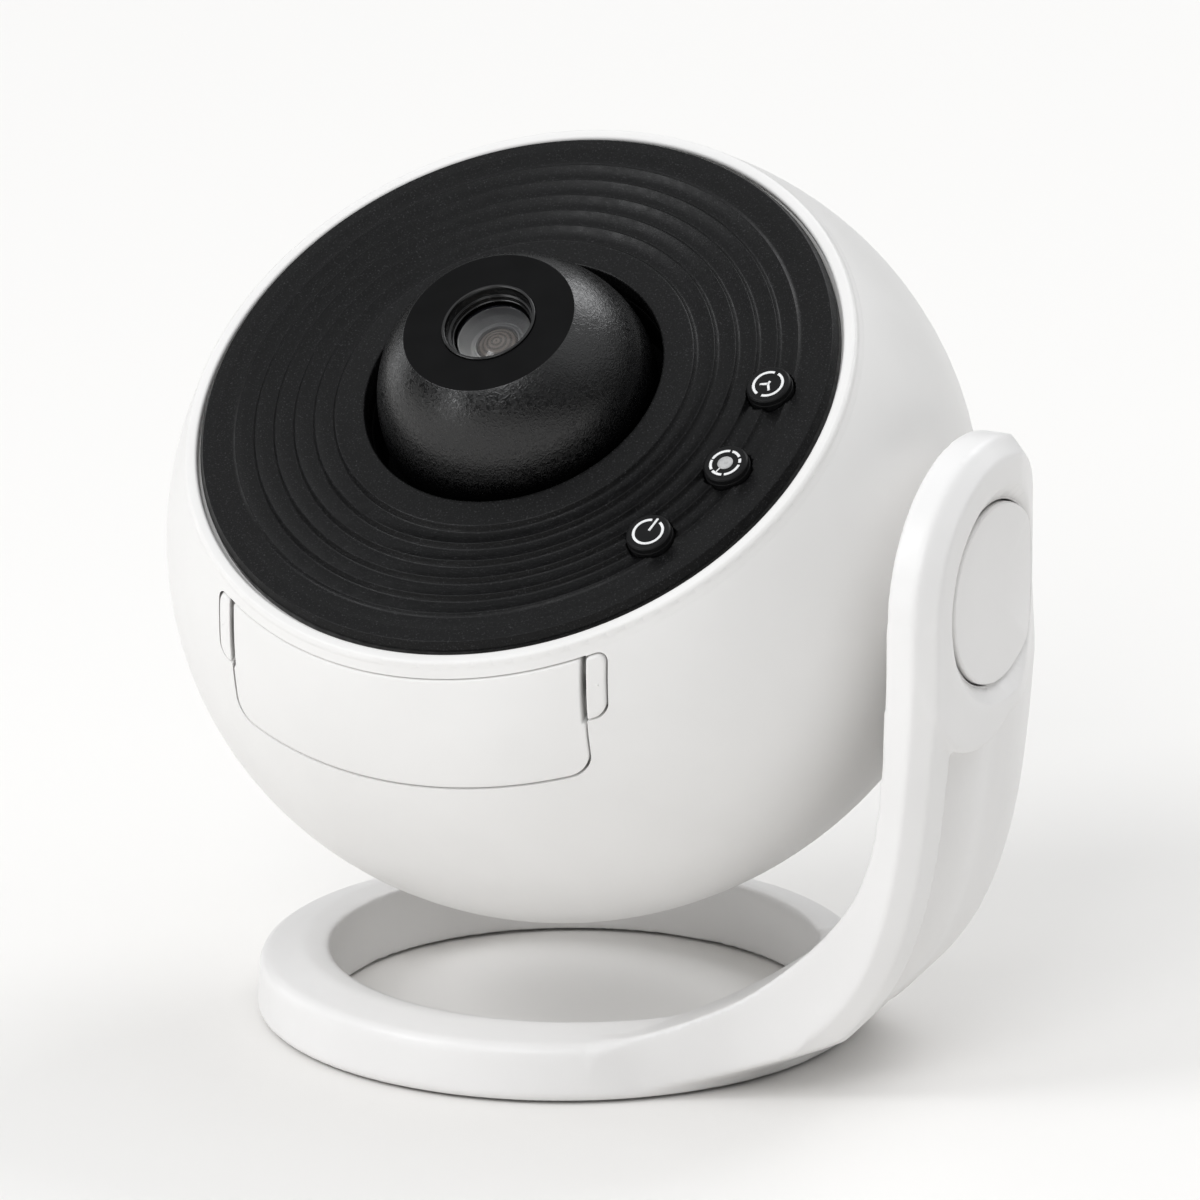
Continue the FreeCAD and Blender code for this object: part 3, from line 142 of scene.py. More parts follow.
# %% [markdown]
# ## Profiles with soft corners
# A moulding has no razor edges: the tool that cut the mould leaves a small radius. So a profile is written
# as corner points with a radius each, and the helper puts in the arcs. Carried round the axis, the profile
# becomes a turned piece. This is what a Spin or Screw modifier would do, but as one formula.


# %% Rounded profile and turned surface
def rounded(corners, steps=4, loop=False):
    """Profile through (r, z, radius) corners: each corner is an arc tangent to both sides, centred on the
    line that halves the corner, at radius / sin(half angle) from it."""
    pts = np.array([c[:2] for c in corners], float)
    out = []
    last = len(corners) - 1
    for k, (r, z, radius) in enumerate(corners):
        if radius == 0 or (not loop and k in (0, last)):
            out.append(pts[k][None])
            continue
        a, b, c = pts[k - 1], pts[k], pts[(k + 1) % len(pts)]
        u, v = (a - b) / np.linalg.norm(a - b), (c - b) / np.linalg.norm(c - b)
        half = 0.5 * math.acos(np.clip(u @ v, -1, 1))
        centre = b + (u + v) / np.linalg.norm(u + v) * radius / math.sin(half)
        start, end = b + u * radius / math.tan(half) - centre, b + v * radius / math.tan(half) - centre
        sweep = math.pi - 2 * half
        t = np.linspace(0, 1, steps + 1)[:, None]
        out.append(centre + (np.sin((1 - t) * sweep) * start + np.sin(t * sweep) * end) / math.sin(sweep))
    return np.vstack(out)


def turned(profile, count=192):
    """Turned surface: point(t, k) = (r_k sin t, -r_k cos t, z_k), t once round the axis."""
    t = np.linspace(0, 2 * math.pi, count, endpoint=False)[:, None]
    r, z = profile.T
    return np.stack([r * np.sin(t), -r * np.cos(t), z + 0 * t], axis=2)


def turned_piece(name, profile, place=in_ball, count=192, loop=True, centre=(0.0, 0.0)):
    """Turned piece with its axis at centre: a loop profile closes on itself, others end on the axis."""
    grid = turned(profile, count) + np.array([*centre, 0.0])
    rows, cols = grid.shape[:2]
    obj = mesh_object(name, place(grid.reshape(-1, 3)), quads(rows, cols, True, loop))
    weigh_normals(obj)
    return obj


def at_angle(r, deg):
    """Point at radius r, counted from the drawer side towards the pivot."""
    a = math.radians(deg)
    return r * math.sin(a), -r * math.cos(a)


# %% [markdown]
# ## Finishes
# Real plastic is never one flat colour. Its skin has a spark-eroded grain a fraction of a millimetre wide,
# the grain makes the gloss uneven, and the colour drifts by a percent or two where the resin flowed. Each
# finish is therefore a small node tree on object coordinates: one noise for the drift, one for the gloss and
# one or two for the relief. What is the same everywhere sits straight on the shader's own sockets.


# %% Node helpers
def shader(name, roughness, **sockets):
    """New material with its Principled shader; further sockets are set by their names."""
    material = bpy.data.materials.new(name)
    material.use_nodes = True
    bsdf = material.node_tree.nodes["Principled BSDF"]
    bsdf.inputs["Roughness"].default_value = roughness
    for socket, value in sockets.items():
        bsdf.inputs[socket.replace("_", " ")].default_value = value
    return material, material.node_tree, bsdf


def coordinates(tree, turned_with_ball=False):
    """Object coordinates, if asked turned back into the upright ball with its centre at zero."""
    source = tree.nodes.new("ShaderNodeTexCoord")
    if not turned_with_ball:
        return source.outputs["Object"]
    mapping = tree.nodes.new("ShaderNodeMapping")
    mapping.vector_type = "TEXTURE"
    mapping.inputs["Location"].default_value = PIVOT.tolist()
    mapping.inputs["Rotation"].default_value = (LEAN, 0, 0)
    tree.links.new(source.outputs["Object"], mapping.inputs["Vector"])
    return mapping.outputs["Vector"]


def noise(tree, vector, size_mm, detail=3.0, distortion=0.0):
    """Noise whose lumps are size_mm wide."""
    node = tree.nodes.new("ShaderNodeTexNoise")
    node.inputs["Scale"].default_value = 1.0 / (size_mm * MM)
    node.inputs["Detail"].default_value = detail
    node.inputs["Distortion"].default_value = distortion
    tree.links.new(vector, node.inputs["Vector"])
    return node.outputs["Fac"]


def mapped(tree, value, low, high, start=0.0, end=1.0):
    """Value between start and end, mapped to low and high."""
    node = tree.nodes.new("ShaderNodeMapRange")
    for socket, number in (("From Min", start), ("From Max", end), ("To Min", low), ("To Max", high)):
        node.inputs[socket].default_value = number
    tree.links.new(value, node.inputs["Value"])
    return node.outputs["Result"]


def ramped_base_colour(tree, bsdf, value, dark, light, start=0.3, end=0.7):
    """Base colour between two tones, set by a value: a random drift for most finishes, painted light and
    shade on the lens cone, painted reflection rings on the second glass.
    """
    ramp = tree.nodes.new("ShaderNodeValToRGB")
    ramp.color_ramp.elements[0].position = start
    ramp.color_ramp.elements[0].color = (*dark, 1)
    ramp.color_ramp.elements[1].position = end
    ramp.color_ramp.elements[1].color = (*light, 1)
    tree.links.new(value, ramp.inputs["Fac"])
    tree.links.new(ramp.outputs["Color"], bsdf.inputs["Base Color"])


def shine(tree, bsdf, value, low, high, start=0.3, end=0.7):
    """Roughness that runs from low to high as a value runs from start to end."""
    tree.links.new(mapped(tree, value, low, high, start, end), bsdf.inputs["Roughness"])


def relief(tree, bsdf, heights):
    """Chain of bumps: each (height, depth in mm, strength) is laid over the last."""
    last = None
    for height, depth_mm, strength in heights:
        bump = tree.nodes.new("ShaderNodeBump")
        bump.inputs["Distance"].default_value = depth_mm * MM
        bump.inputs["Strength"].default_value = strength
        tree.links.new(height, bump.inputs["Height"])
        if last is not None:
            tree.links.new(last, bump.inputs["Normal"])
        last = bump.outputs["Normal"]
    tree.links.new(last, bsdf.inputs["Normal"])


def moulded(name, dark, light, roughness, grain_mm, depth_mm, strength=0.5, drift_mm=25.0, uneven=0.05,
            **sockets):
    """Injection-moulded plastic: drifting tone, uneven gloss and a spark-eroded grain."""
    material, tree, bsdf = shader(name, roughness, **sockets)
    where = coordinates(tree)
    ramped_base_colour(tree, bsdf, noise(tree, where, drift_mm, 2.0), dark, light)
    shine(tree, bsdf, noise(tree, where, grain_mm * 6, 4.0), roughness - uneven, roughness + uneven)
    relief(tree, bsdf, [(noise(tree, where, grain_mm, 4.0), depth_mm, strength)])
    return material


# %% [markdown]
# ### White mouldings
# The ball is satin white with the faintest warm tint, and so fine a grain that only the edge of a highlight
# shows it. The stand is the same resin from a slightly glossier mould.

# %% White finishes
WHITE_SHELL = moulded("satin_white_shell", (0.805, 0.795, 0.78), (0.835, 0.825, 0.81), 0.42, 0.22, 0.012,
                      0.35, Specular_IOR_Level=0.42)
WHITE_STAND = moulded("satin_white_stand", (0.82, 0.81, 0.80), (0.845, 0.835, 0.825), 0.36, 0.3, 0.010, 0.3,
                      Specular_IOR_Level=0.45)

# %% [markdown]
# ### Black mouldings
# The face is a dry, dark grey-black with a sandy grain. The dome's grain is coarser and worm-like, as
# leather is, and glints where light grazes it. The keys are smoother, and everything around the lens is
# glossy or dead black so that no stray light spoils the stars.


# %% Black finishes
def leather_black(name, roughness):
    """Worm-like grain: soft cells bent by a distorted noise, with a finer noise on top."""
    material, tree, bsdf = shader(name, roughness, Specular_IOR_Level=0.55)
    where = coordinates(tree)
    ramped_base_colour(tree, bsdf, noise(tree, where, 9.0, 3.0), (0.0010, 0.0010, 0.0011), (0.0018, 0.0018, 0.0020))
    worms = noise(tree, where, 1.1, 1.0, 2.2)
    shine(tree, bsdf, worms, roughness + 0.08, roughness - 0.06, 0.4, 0.6)
    cells = mapped(tree, worms, 0, 1, 0.35, 0.65)
    relief(tree, bsdf, [(cells, 0.05, 0.55), (noise(tree, where, 0.2, 2.0), 0.012, 0.3)])
    return material


def sandy_black(name, roughness):
    """Dry black face: fine sand over a soft mottling, with stray light specks."""
    material, tree, bsdf = shader(name, roughness, Specular_IOR_Level=0.16)
    where = coordinates(tree)
    specks = noise(tree, where, 0.32, 2.0)
    ramp = tree.nodes.new("ShaderNodeValToRGB")
    for k, (place, tone) in enumerate(((0.30, 0.0028), (0.60, 0.0050), (0.72, 0.032))):
        stop = ramp.color_ramp.elements[k] if k < 2 else ramp.color_ramp.elements.new(place)
        stop.position, stop.color = place, (tone, tone, 1.04 * tone, 1)
    tree.links.new(specks, ramp.inputs["Fac"])
    tree.links.new(ramp.outputs["Color"], bsdf.inputs["Base Color"])
    sand = noise(tree, where, 0.30, 4.0)
    shine(tree, bsdf, noise(tree, where, 2.4, 5.0), roughness - 0.07, roughness + 0.07, 0.35, 0.65)
    relief(tree, bsdf, [(noise(tree, where, 1.3, 3.0), 0.05, 0.25), (sand, 0.035, 0.6)])
    return material


BLACK_DOME = leather_black("grained_black_dome", 0.27)
BLACK_FLAT = moulded("fine_black_flat", (0.0024, 0.0024, 0.0025), (0.0036, 0.0036, 0.0038), 0.42, 0.2, 0.02,
                     0.5, 6.0, Specular_IOR_Level=0.07)
BLACK_FACE = sandy_black("sandy_black_face", 0.36)
BLACK_KEY = moulded("smooth_black_key", (0.0045, 0.0045, 0.0047), (0.0065, 0.0065, 0.0068), 0.42, 0.2, 0.012,
                    0.4, 4.0, Specular_IOR_Level=0.15)
BLACK_GLOSS = moulded("gloss_black_ring", (0.003, 0.003, 0.003), (0.004, 0.004, 0.004), 0.16, 0.4, 0.004,
                      0.2, 5.0, 0.03)
BLACK_INNER = moulded("dull_black_inside", (0.0015, 0.0015, 0.0015), (0.003, 0.003, 0.003), 0.62, 0.35, 0.03,
                      0.5, 8.0, Specular_IOR_Level=0.1)

# %% [markdown]
# ### Glass, metal, rubber and boards
# The hidden pieces get honest finishes too, because they show when the drawer is out or the part is taken
# apart: coated glass, turned and stamped metal, rubber, a green board, and a film with pin-prick stars.


# %% Metal and rubber
def metal(name, colour, roughness, streak_mm, **sockets):
    """Worked metal: fine streaks in the gloss and a shallow relief along them."""
    material, tree, bsdf = shader(name, roughness, Metallic=1.0, **sockets)
    where = coordinates(tree)
    ramped_base_colour(tree, bsdf, noise(tree, where, 6.0, 4.0), tuple(0.88 * c for c in colour), colour)
    streaks = noise(tree, where, streak_mm, 5.0, 0.4)
    shine(tree, bsdf, streaks, roughness - 0.08, roughness + 0.1)
    relief(tree, bsdf, [(streaks, 0.01, 0.25)])
    return material


STEEL = metal("zinc_plated_steel", (0.62, 0.63, 0.64), 0.32, 0.3)
SPRING = metal("blue_spring_steel", (0.38, 0.40, 0.44), 0.30, 0.3)
ALUMINIUM = metal("raw_aluminium", (0.76, 0.77, 0.78), 0.40, 0.5)
MOTOR_CAN = metal("motor_can", (0.55, 0.55, 0.54), 0.28, 0.4)
BRIGHT = metal("bright_lens_ring", (0.80, 0.80, 0.79), 0.22, 0.35)
RUBBER = moulded("black_rubber", (0.014, 0.014, 0.014), (0.022, 0.022, 0.022), 0.75, 0.4, 0.04, 0.6, 5.0)
GREY_PART = moulded("grey_acetal", (0.30, 0.30, 0.31), (0.34, 0.34, 0.35), 0.42, 0.3, 0.015, 0.4, 8.0)
SLIP_WASHER = moulded("pale_slip_washer", (0.66, 0.64, 0.58), (0.72, 0.70, 0.64), 0.48, 0.4, 0.015, 0.3,
                      8.0)


# %% Glass, board, film and lamp
def coated_glass(name):
    """Thin coated lens: mostly see-through, with a glossy skin that shows faint smears of dust."""
    material, tree, bsdf = shader(name, 0.03, Alpha=0.2, Coat_Weight=0.6, Coat_Roughness=0.03)
    where = coordinates(tree)
    ramped_base_colour(tree, bsdf, noise(tree, where, 4.0, 2.0), (0.010, 0.010, 0.014), (0.020, 0.020, 0.026))
    shine(tree, bsdf, noise(tree, where, 0.5, 2.0), 0.01, 0.06, 0.0, 1.0)
    return material


def circuit_green(name):
    """Green board: solder mask with the faint relief of tracks below it."""
    material, tree, bsdf = shader(name, 0.30, Coat_Weight=0.3)
    where = coordinates(tree, True)
    brick = tree.nodes.new("ShaderNodeTexBrick")
    brick.inputs["Scale"].default_value = 160.0
    brick.inputs["Mortar Size"].default_value = 0.04
    brick.inputs["Color1"].default_value = (0.020, 0.120, 0.055, 1)
    brick.inputs["Color2"].default_value = (0.024, 0.135, 0.060, 1)
    brick.inputs["Mortar"].default_value = (0.035, 0.200, 0.085, 1)
    tree.links.new(where, brick.inputs["Vector"])
    tree.links.new(brick.outputs["Color"], bsdf.inputs["Base Color"])
    relief(tree, bsdf, [(brick.outputs["Fac"], 0.02, 0.4), (noise(tree, where, 0.3), 0.01, 0.3)])
    return material


def star_film(name):
    """Dark film with clear pin-pricks: the small core of each scattered cell is a star."""
    material, tree, bsdf = shader(name, 0.18)
    where = coordinates(tree, True)
    stars = tree.nodes.new("ShaderNodeTexVoronoi")
    stars.inputs["Scale"].default_value = 900.0
    tree.links.new(where, stars.inputs["Vector"])
    ramp = tree.nodes.new("ShaderNodeValToRGB")
    ramp.color_ramp.elements[0].position = 0.10
    ramp.color_ramp.elements[0].color = (0.85, 0.88, 0.95, 1)
    ramp.color_ramp.elements[1].position = 0.16
    ramp.color_ramp.elements[1].color = (0.006, 0.007, 0.014, 1)
    tree.links.new(stars.outputs["Distance"], ramp.inputs["Fac"])
    tree.links.new(ramp.outputs["Color"], bsdf.inputs["Base Color"])
    relief(tree, bsdf, [(noise(tree, where, 2.0), 0.01, 0.2)])
    return material


def glass_with_painted_rings(name):
    """Second lens seen through the first: grey-brown glass, with faint warm rings about the ball's axis
    painted into its colour as reflections.
    """
    material, tree, bsdf = shader(name, 0.12, Coat_Weight=0.6, Coat_Roughness=0.05)
    where = coordinates(tree, True)
    wave = tree.nodes.new("ShaderNodeTexWave")
    wave.wave_type, wave.rings_direction, wave.wave_profile = "RINGS", "Z", "SIN"
    wave.inputs["Scale"].default_value = 330.0
    wave.inputs["Distortion"].default_value = 0.4
    tree.links.new(where, wave.inputs["Vector"])
    # painted reflections: the rings lift the glass's own grey-brown to a lighter warm tone
    ramped_base_colour(tree, bsdf, wave.outputs["Fac"], (0.16, 0.145, 0.13), (0.30, 0.26, 0.225), 0.2, 0.8)
    relief(tree, bsdf, [(wave.outputs["Fac"], 0.02, 0.3)])
    return material


def cone_with_painted_light(name):
    """Satin cone round the second lens, with painted light: painted shade on the far side of the ball climbs
    to a painted highlight on the near side.
    """
    material, tree, bsdf = shader(name, 0.35, Metallic=0.3)
    where = coordinates(tree, True)
    split = tree.nodes.new("ShaderNodeSeparateXYZ")
    tree.links.new(where, split.inputs["Vector"])
    # painted light: the base colour runs from painted shade at the far side to a painted highlight at the
    # near side
    ramped_base_colour(tree, bsdf, mapped(tree, split.outputs["Y"], 1.0, 0.0, -6.5 * MM, 7.0 * MM), (0.08, 0.08, 0.08),
          (0.80, 0.80, 0.78), 0.05, 0.95)
    relief(tree, bsdf, [(noise(tree, where, 0.5, 2.0), 0.004, 0.3)])
    return material


FRONT_GLASS = coated_glass("coated_front_glass")
PAINTED_RINGS_GLASS = glass_with_painted_rings("second_glass_painted_reflection_rings")
PAINTED_LIGHT_CONE = cone_with_painted_light("satin_cone_painted_shade_and_highlight")
BOARD = circuit_green("green_board")
FILM = star_film("star_film")
LAMP = moulded("lamp_phosphor", (0.80, 0.62, 0.16), (0.86, 0.70, 0.22), 0.25, 0.2, 0.01, 0.3, 1.0,
               Coat_Weight=0.6)

# %% [markdown]
# ## Dress the CAD nodes
# Every node arrives with a plain material named after its slot. Swapping that one material is enough to give
# the finish, and the mesh is never touched.

# %% A finish for every slot
FINISH = {
    "shell_white": WHITE_SHELL, "stand_white": WHITE_STAND, "plate_black": BLACK_FACE,
    "inner_black": BLACK_INNER, "key_black": BLACK_KEY, "gloss_black": BLACK_GLOSS,
    "lens_glass": FRONT_GLASS, "bright_ring": BRIGHT, "spring_steel": SPRING, "steel": STEEL,
    "rubber_black": RUBBER, "pcb_green": BOARD, "part_grey": GREY_PART, "low_friction": SLIP_WASHER,
    "heat_alu": ALUMINIUM, "phosphor": LAMP, "film": FILM, "motor_can": MOTOR_CAN}
for node in frame["nodes"].values():
    node.data.materials[0] = FINISH[node.data.materials[0].name.split(".")[0]]
print("finishes given to", len(frame["nodes"]), "nodes")

# %% [markdown]
# ## The black face
# On the real object the face is one thin disc with six shallow steps round the dome. Each step falls quickly
# just outside its ridge and climbs back slowly to the next, which is why one side of a ridge always shines
# and the other is dark. That is a height over the radius and nothing else, so one turned profile makes the
# whole disc.

# %% Rippled faceplate
HOLE_R, CROWN_Z = 30.0, 44.0
PLATE_R, SEAT_Z = 64.2, 38.2
BEVEL_R, BEVEL_Z = 63.3, 41.75
RIDGES = np.array([36.0, 40.1, 44.2, 48.3, 52.4, 56.5])
STEP_DEPTH, STEP_LOW = 1.0, 0.22
KEYS = {"timer": 99.5, "rotate": 77.4, "power": 54.6}
KEY_RING, KEY_R, KEY_GAP = 52.6, 4.6, 0.25


def plate_top(r):
    """Cone from the crown at the hole down to the bevel at the rim, lowered by each step: 1 - (1 - f)^1.5
    down to STEP_LOW of the way to the next ridge, a quarter cosine back up, and half as deep at the last."""
    cone = CROWN_Z - (r - HOLE_R) * (CROWN_Z - BEVEL_Z) / (BEVEL_R - HOLE_R)
    pitch = np.diff(RIDGES).mean()
    u = np.clip((r - RIDGES[0]) / pitch, 0, len(RIDGES) - 1e-9) % 1.0
    fall, climb = u / STEP_LOW, (u - STEP_LOW) / (1 - STEP_LOW)
    drop = np.where(u < STEP_LOW, 1 - np.clip(1 - fall, 0, 1) ** 1.5, np.cos(0.5 * math.pi * climb))
    inside = (r > RIDGES[0]) & (r < RIDGES[-1] + pitch)
    last = r > RIDGES[-1]
    return cone - np.where(inside, np.where(last, 0.5, 1.0) * STEP_DEPTH * drop, 0.0)


def plate_profile():
    """Closed profile of the faceplate: soft hole edge, rippled top, bevelled rim, underside."""
    pitch = np.diff(RIDGES).mean()
    u = np.array([0.0, 0.03, 0.07, 0.12, 0.17, 0.22, 0.28, 0.36, 0.46, 0.58, 0.7, 0.8, 0.88, 0.94, 0.98])
    steps = (RIDGES[:, None] + pitch * u).ravel()
    r = np.concatenate([np.linspace(31.2, 35.7, 5), steps, np.linspace(60.8, 62.7, 4)])
    top = np.stack([r, plate_top(r)], axis=1)
    edge = rounded([(HOLE_R, 41.0, 0), (HOLE_R, CROWN_Z, 0.45), (31.1, plate_top(np.array([31.1]))[0], 0)])
    rim = rounded([(62.8, plate_top(np.array([62.8]))[0], 0), (BEVEL_R, BEVEL_Z, 0.3), (PLATE_R, 40.2, 0.3),
                   (PLATE_R, SEAT_Z, 0), (60.0, SEAT_Z, 0), (60.0, 39.4, 0.3), (33.4, 41.2, 0.3),
                   (33.4, SEAT_Z, 0), (HOLE_R, SEAT_Z, 0)])
    return np.vstack([edge, top, rim])


plate = turned_piece("face_disc", plate_profile(), count=360)
print("face disc rings:", len(RIDGES), "points", len(plate.data.vertices))

# %% [markdown]
# The three keys need holes in the disc. A Boolean modifier with a round cutter is the plain way to drill a
# finished mesh. Each cutter is itself a turned surface, and it is thrown away afterwards.


# %% Drill the key holes
def bake(obj):
    """Make what the modifiers give the object's own mesh."""
    graph = bpy.context.evaluated_depsgraph_get()
    baked = bpy.data.meshes.new_from_object(obj.evaluated_get(graph))
    obj.modifiers.clear()
    obj.data = baked


def drill(target, cutter):
    """Cut one object from another and throw the cutter away."""
    cut = target.modifiers.new("drill", "BOOLEAN")
    cut.operation, cut.solver, cut.object = "DIFFERENCE", "EXACT", cutter
    bake(target)
    bpy.data.objects.remove(cutter)


plate.modifiers.clear()
for key, angle in KEYS.items():
    rod = rounded([(0, 36.0, 0), (KEY_R + KEY_GAP, 36.0, 0), (KEY_R + KEY_GAP, 48.0, 0), (0, 48.0, 0)])
    drill(plate, turned_piece("cutter", rod, count=96, loop=False, centre=at_angle(KEY_RING, angle)))
plate.data.polygons.foreach_set("use_smooth", np.ones(len(plate.data.polygons), bool))
weigh_normals(plate)
dress(plate, "ball", BLACK_FACE, ["faceplate"])

# %% [markdown]
# ## The white lip
# A wide moulding is drawn with few facets in the CAD mesh, and its lip is the one place where that shows,
# because a black disc lies right beside it. A fine turned ring, a hair larger than the CAD lip, gives the
# edge its clean round line again: down the ball outside, over a soft crest and down the inner wall. At its
# foot it dives gently under the ball's skin, so that no edge shows where the two meet.


# %% Lip ring
BALL_R, BALL_H = 80.0, 73.3
HAIR = 0.03


def ball_outline(z, off):
    """Radius of the flattened ball at height z, its surface moved inwards by off: an ellipse."""
    return (BALL_R - off) * np.sqrt(1 - (z / (BALL_H - off)) ** 2)


LIP_TOP, LIP_IN = 40.2 + HAIR, 65.0
DIVE_Z, DIVE = np.array([(37.15, 0.6), (37.25, 0.16), (37.5, 0.06), (37.8, 0.01), (38.1, -0.02),
                         (38.6, -HAIR)]).T
lip = np.vstack([np.stack([ball_outline(DIVE_Z, DIVE), DIVE_Z], axis=1),
                 rounded([(67.98, 38.75, 0), (67.25, LIP_TOP, 0.9), (LIP_IN, LIP_TOP, 0.6), (LIP_IN, 38.5, 0),
                          (66.2, 38.5, 0), (66.2, 37.3, 0)], steps=8)])
dress(turned_piece("white_lip", lip, count=400), "ball", WHITE_SHELL)

# %% [markdown]
# ## The soft stand
# The foot and the arm are one moulding, and nothing on it is sharp: the crest of the ring runs up into the
# front edge of the arm as one soft line. The CAD stand has all of its flats and chamfers, but meets itself in
# hard corners. So a copy of it is trimmed where two of its shapes stand proud of each other, given an even
# skin with a Remesh modifier, and worn smooth by a Smooth modifier. The seat of the cap is cut last, to keep
# it crisp. Each trimming block is a row of sections, joined by the same grid helper.


# %% Trim, remesh and smooth the stand
def block(sections, name="cutter"):
    """Closed solid through a row of sections, an array of stations by corners by x, y, z, in mm."""
    stations, corners = sections.shape[:2]
    ends = [list(range(corners)), list(range((stations - 1) * corners, stations * corners))]
    faces = quads(stations, corners, False, True).tolist() + ends
    return mesh_object(name, in_place(sections.reshape(-1, 3)), faces)


RING_X, RING_RO, RING_TOP, CREST_R = -2.6, 60.0, 13.9, 50.8
SHOULDER = np.array([(CREST_R, RING_TOP), (57.0, 12.2), (58.2, 11.75), (58.9, 11.2), (59.3, 10.4),
                     (59.5, 9.4), (RING_RO, 2.2), (RING_RO, -3.0)])
GROW_X, GROW = np.array([(21.0, 0.02), (26.0, 0.04), (31.0, 0.2), (35.0, 0.9), (39.0, 2.6), (43.0, 6.0),
                         (46.0, 10.0)]).T
CLEAR_R, CLEAR_LOW, CLEAR_HIGH = 90.0, -3.0, 40.0


def crest_cutter():
    """Solid outside the ring's shoulder: it lies on it at the ring and moves away from it towards the arm."""
    x = np.linspace(GROW_X[0], GROW_X[-1], 30)
    grow = np.interp(x, GROW_X, GROW)[:, None]
    along = np.gradient(SHOULDER, axis=0)
    away = np.stack([-along[:, 1], along[:, 0]], axis=1) / np.linalg.norm(along, axis=1)[:, None]
    away[0], away[-1] = (0.0, 1.0), (1.0, 0.0)
    near = [SHOULDER[:, k] + grow * away[:, k] for k in (0, 1)]
    r = np.hstack([near[0], np.full((len(x), 2), CLEAR_R), np.full((len(x), 1), CREST_R)])
    z = np.hstack([near[1], np.full((len(x), 1), CLEAR_LOW), np.full((len(x), 2), CLEAR_HIGH)])
    sin = ((x - RING_X) / RING_RO).clip(-1, 1)[:, None]
    return block(np.stack([RING_X + r * sin, -r * np.sqrt(1 - sin ** 2), z], axis=2))


ARM_OUT, TRIM_OUT, TRIM_LOW, TRIM_HIGH = 94.0, 100.0, 66.0, 99.4
REAR_Y, REAR_X = np.array([(6.0, 94.2), (11.0, 93.1), (16.0, 91.6), (19.0, 90.4), (22.0, 88.95),
                           (25.0, 87.25), (28.0, 85.35), (31.0, 83.6), (34.0, 81.5)]).T


def chamfer_cutter():
    """Solid in front of the arm's front chamfer, from below the boss up to the pivot."""
    corners = np.array([(87.0, -34.3), (ARM_OUT, -27.3), (99.0, -27.3), (99.0, -34.3)])
    return block(np.stack([np.column_stack([corners, np.full(4, z)]) for z in (TRIM_LOW, TRIM_HIGH)]))


def rear_cutter():
    """Solid behind the arm: flush with its round head at the pivot, clear of the arm further down."""
    y, head = REAR_Y[2:], REAR_X[2:]
    rows = []
    for z, clear in zip(np.linspace(TRIM_HIGH + 0.3, TRIM_LOW, 12), 4.0 * np.linspace(0, 1, 12) ** 2):
        x = np.concatenate([head + clear, [TRIM_OUT, TRIM_OUT]])
        rows.append(np.column_stack([x, np.concatenate([y, [y[-1], y[0]]]), np.full(len(x), z)]))
    return block(np.stack(rows))


def welded_copy(node, name):
    """Copy of a CAD node with its doubled vertices merged."""
    mesh = node.data.copy()
    weld = bmesh.new()
    weld.from_mesh(mesh)
    bmesh.ops.remove_doubles(weld, verts=weld.verts, dist=1e-6)
    weld.to_mesh(mesh)
    weld.free()
    obj = bpy.data.objects.new(name, mesh)
    bpy.context.scene.collection.objects.link(obj)
    return obj


CAP_R, CAP_SEAT, CAP_GAP = 18.0, 88.9, 0.3
soft = welded_copy(frame["nodes"]["stand"], "soft_stand")
for cutter in (crest_cutter, chamfer_cutter, rear_cutter):
    drill(soft, cutter())
skin = soft.modifiers.new("even_skin", "REMESH")
skin.mode, skin.voxel_size = "VOXEL", 0.75 * MM
worn = soft.modifiers.new("worn_edges", "SMOOTH")
worn.factor, worn.iterations = 0.5, 2
bake(soft)
seat = rounded([(0, CAP_SEAT, 0), (CAP_R + CAP_GAP, CAP_SEAT, 0), (CAP_R + CAP_GAP, CAP_SEAT + 2.5, 0.3),
                (CAP_R + 3.6, ARM_OUT - 0.1, 1.0), (CAP_R + 6.0, ARM_OUT + 0.9, 0), (0, ARM_OUT + 0.9, 0)])
drill(soft, turned_piece("cutter", seat, place=in_arm, count=160, loop=False))
soft.data.materials.clear()
soft.data.polygons.foreach_set("use_smooth", np.ones(len(soft.data.polygons), bool))
dress(soft, "stand", WHITE_STAND, ["stand"])

# %% [markdown]
# ## Cap of the pivot
# A flat cap closes the arm's head, and the moulding around it is dished, so that a thin dark gap shows all
# round the cap. Both are turned about the pivot axis. Towards the rear the head is rounded off, so no point
# of them may stand past its skin: the curve that trimmed the head limits them too.

# %% Cap and the dished ring round it
CAP_TOP, DISH_LOW, DISH_WIDE = 92.6, 91.5, 3.4


def on_head(points):
    """Points laid along the pivot axis, but never past the rounded rear of the arm's head."""
    placed = in_arm(points)
    limit = MM * (np.interp(placed[:, 1] / MM, REAR_Y, REAR_X) - 0.1)
    return np.column_stack([np.minimum(placed[:, 0], limit), placed[:, 1:]])


cap = rounded([(0, CAP_SEAT, 0), (CAP_R - 0.1, CAP_SEAT, 0), (CAP_R - 0.1, CAP_TOP, 0.45), (0, CAP_TOP, 0)])
dress(turned_piece("arm_cap", cap, place=on_head, count=160, loop=False), "stand", WHITE_STAND,
      ["pivot_cap"])
dish_in, dish_out, dish_seat = CAP_R + 0.28, CAP_R + DISH_WIDE, CAP_SEAT + 0.02
dish = rounded([(dish_in, dish_seat, 0), (dish_in, DISH_LOW, 0.25), (CAP_R + 1.6, DISH_LOW + 0.5, 1.0),
                (dish_out, ARM_OUT - 0.25, 0.3), (dish_out, CAP_SEAT + 2.6, 0), (CAP_R + 0.8, dish_seat, 0)])
dress(turned_piece("dished_ring", dish, place=on_head, count=160), "stand", WHITE_STAND)

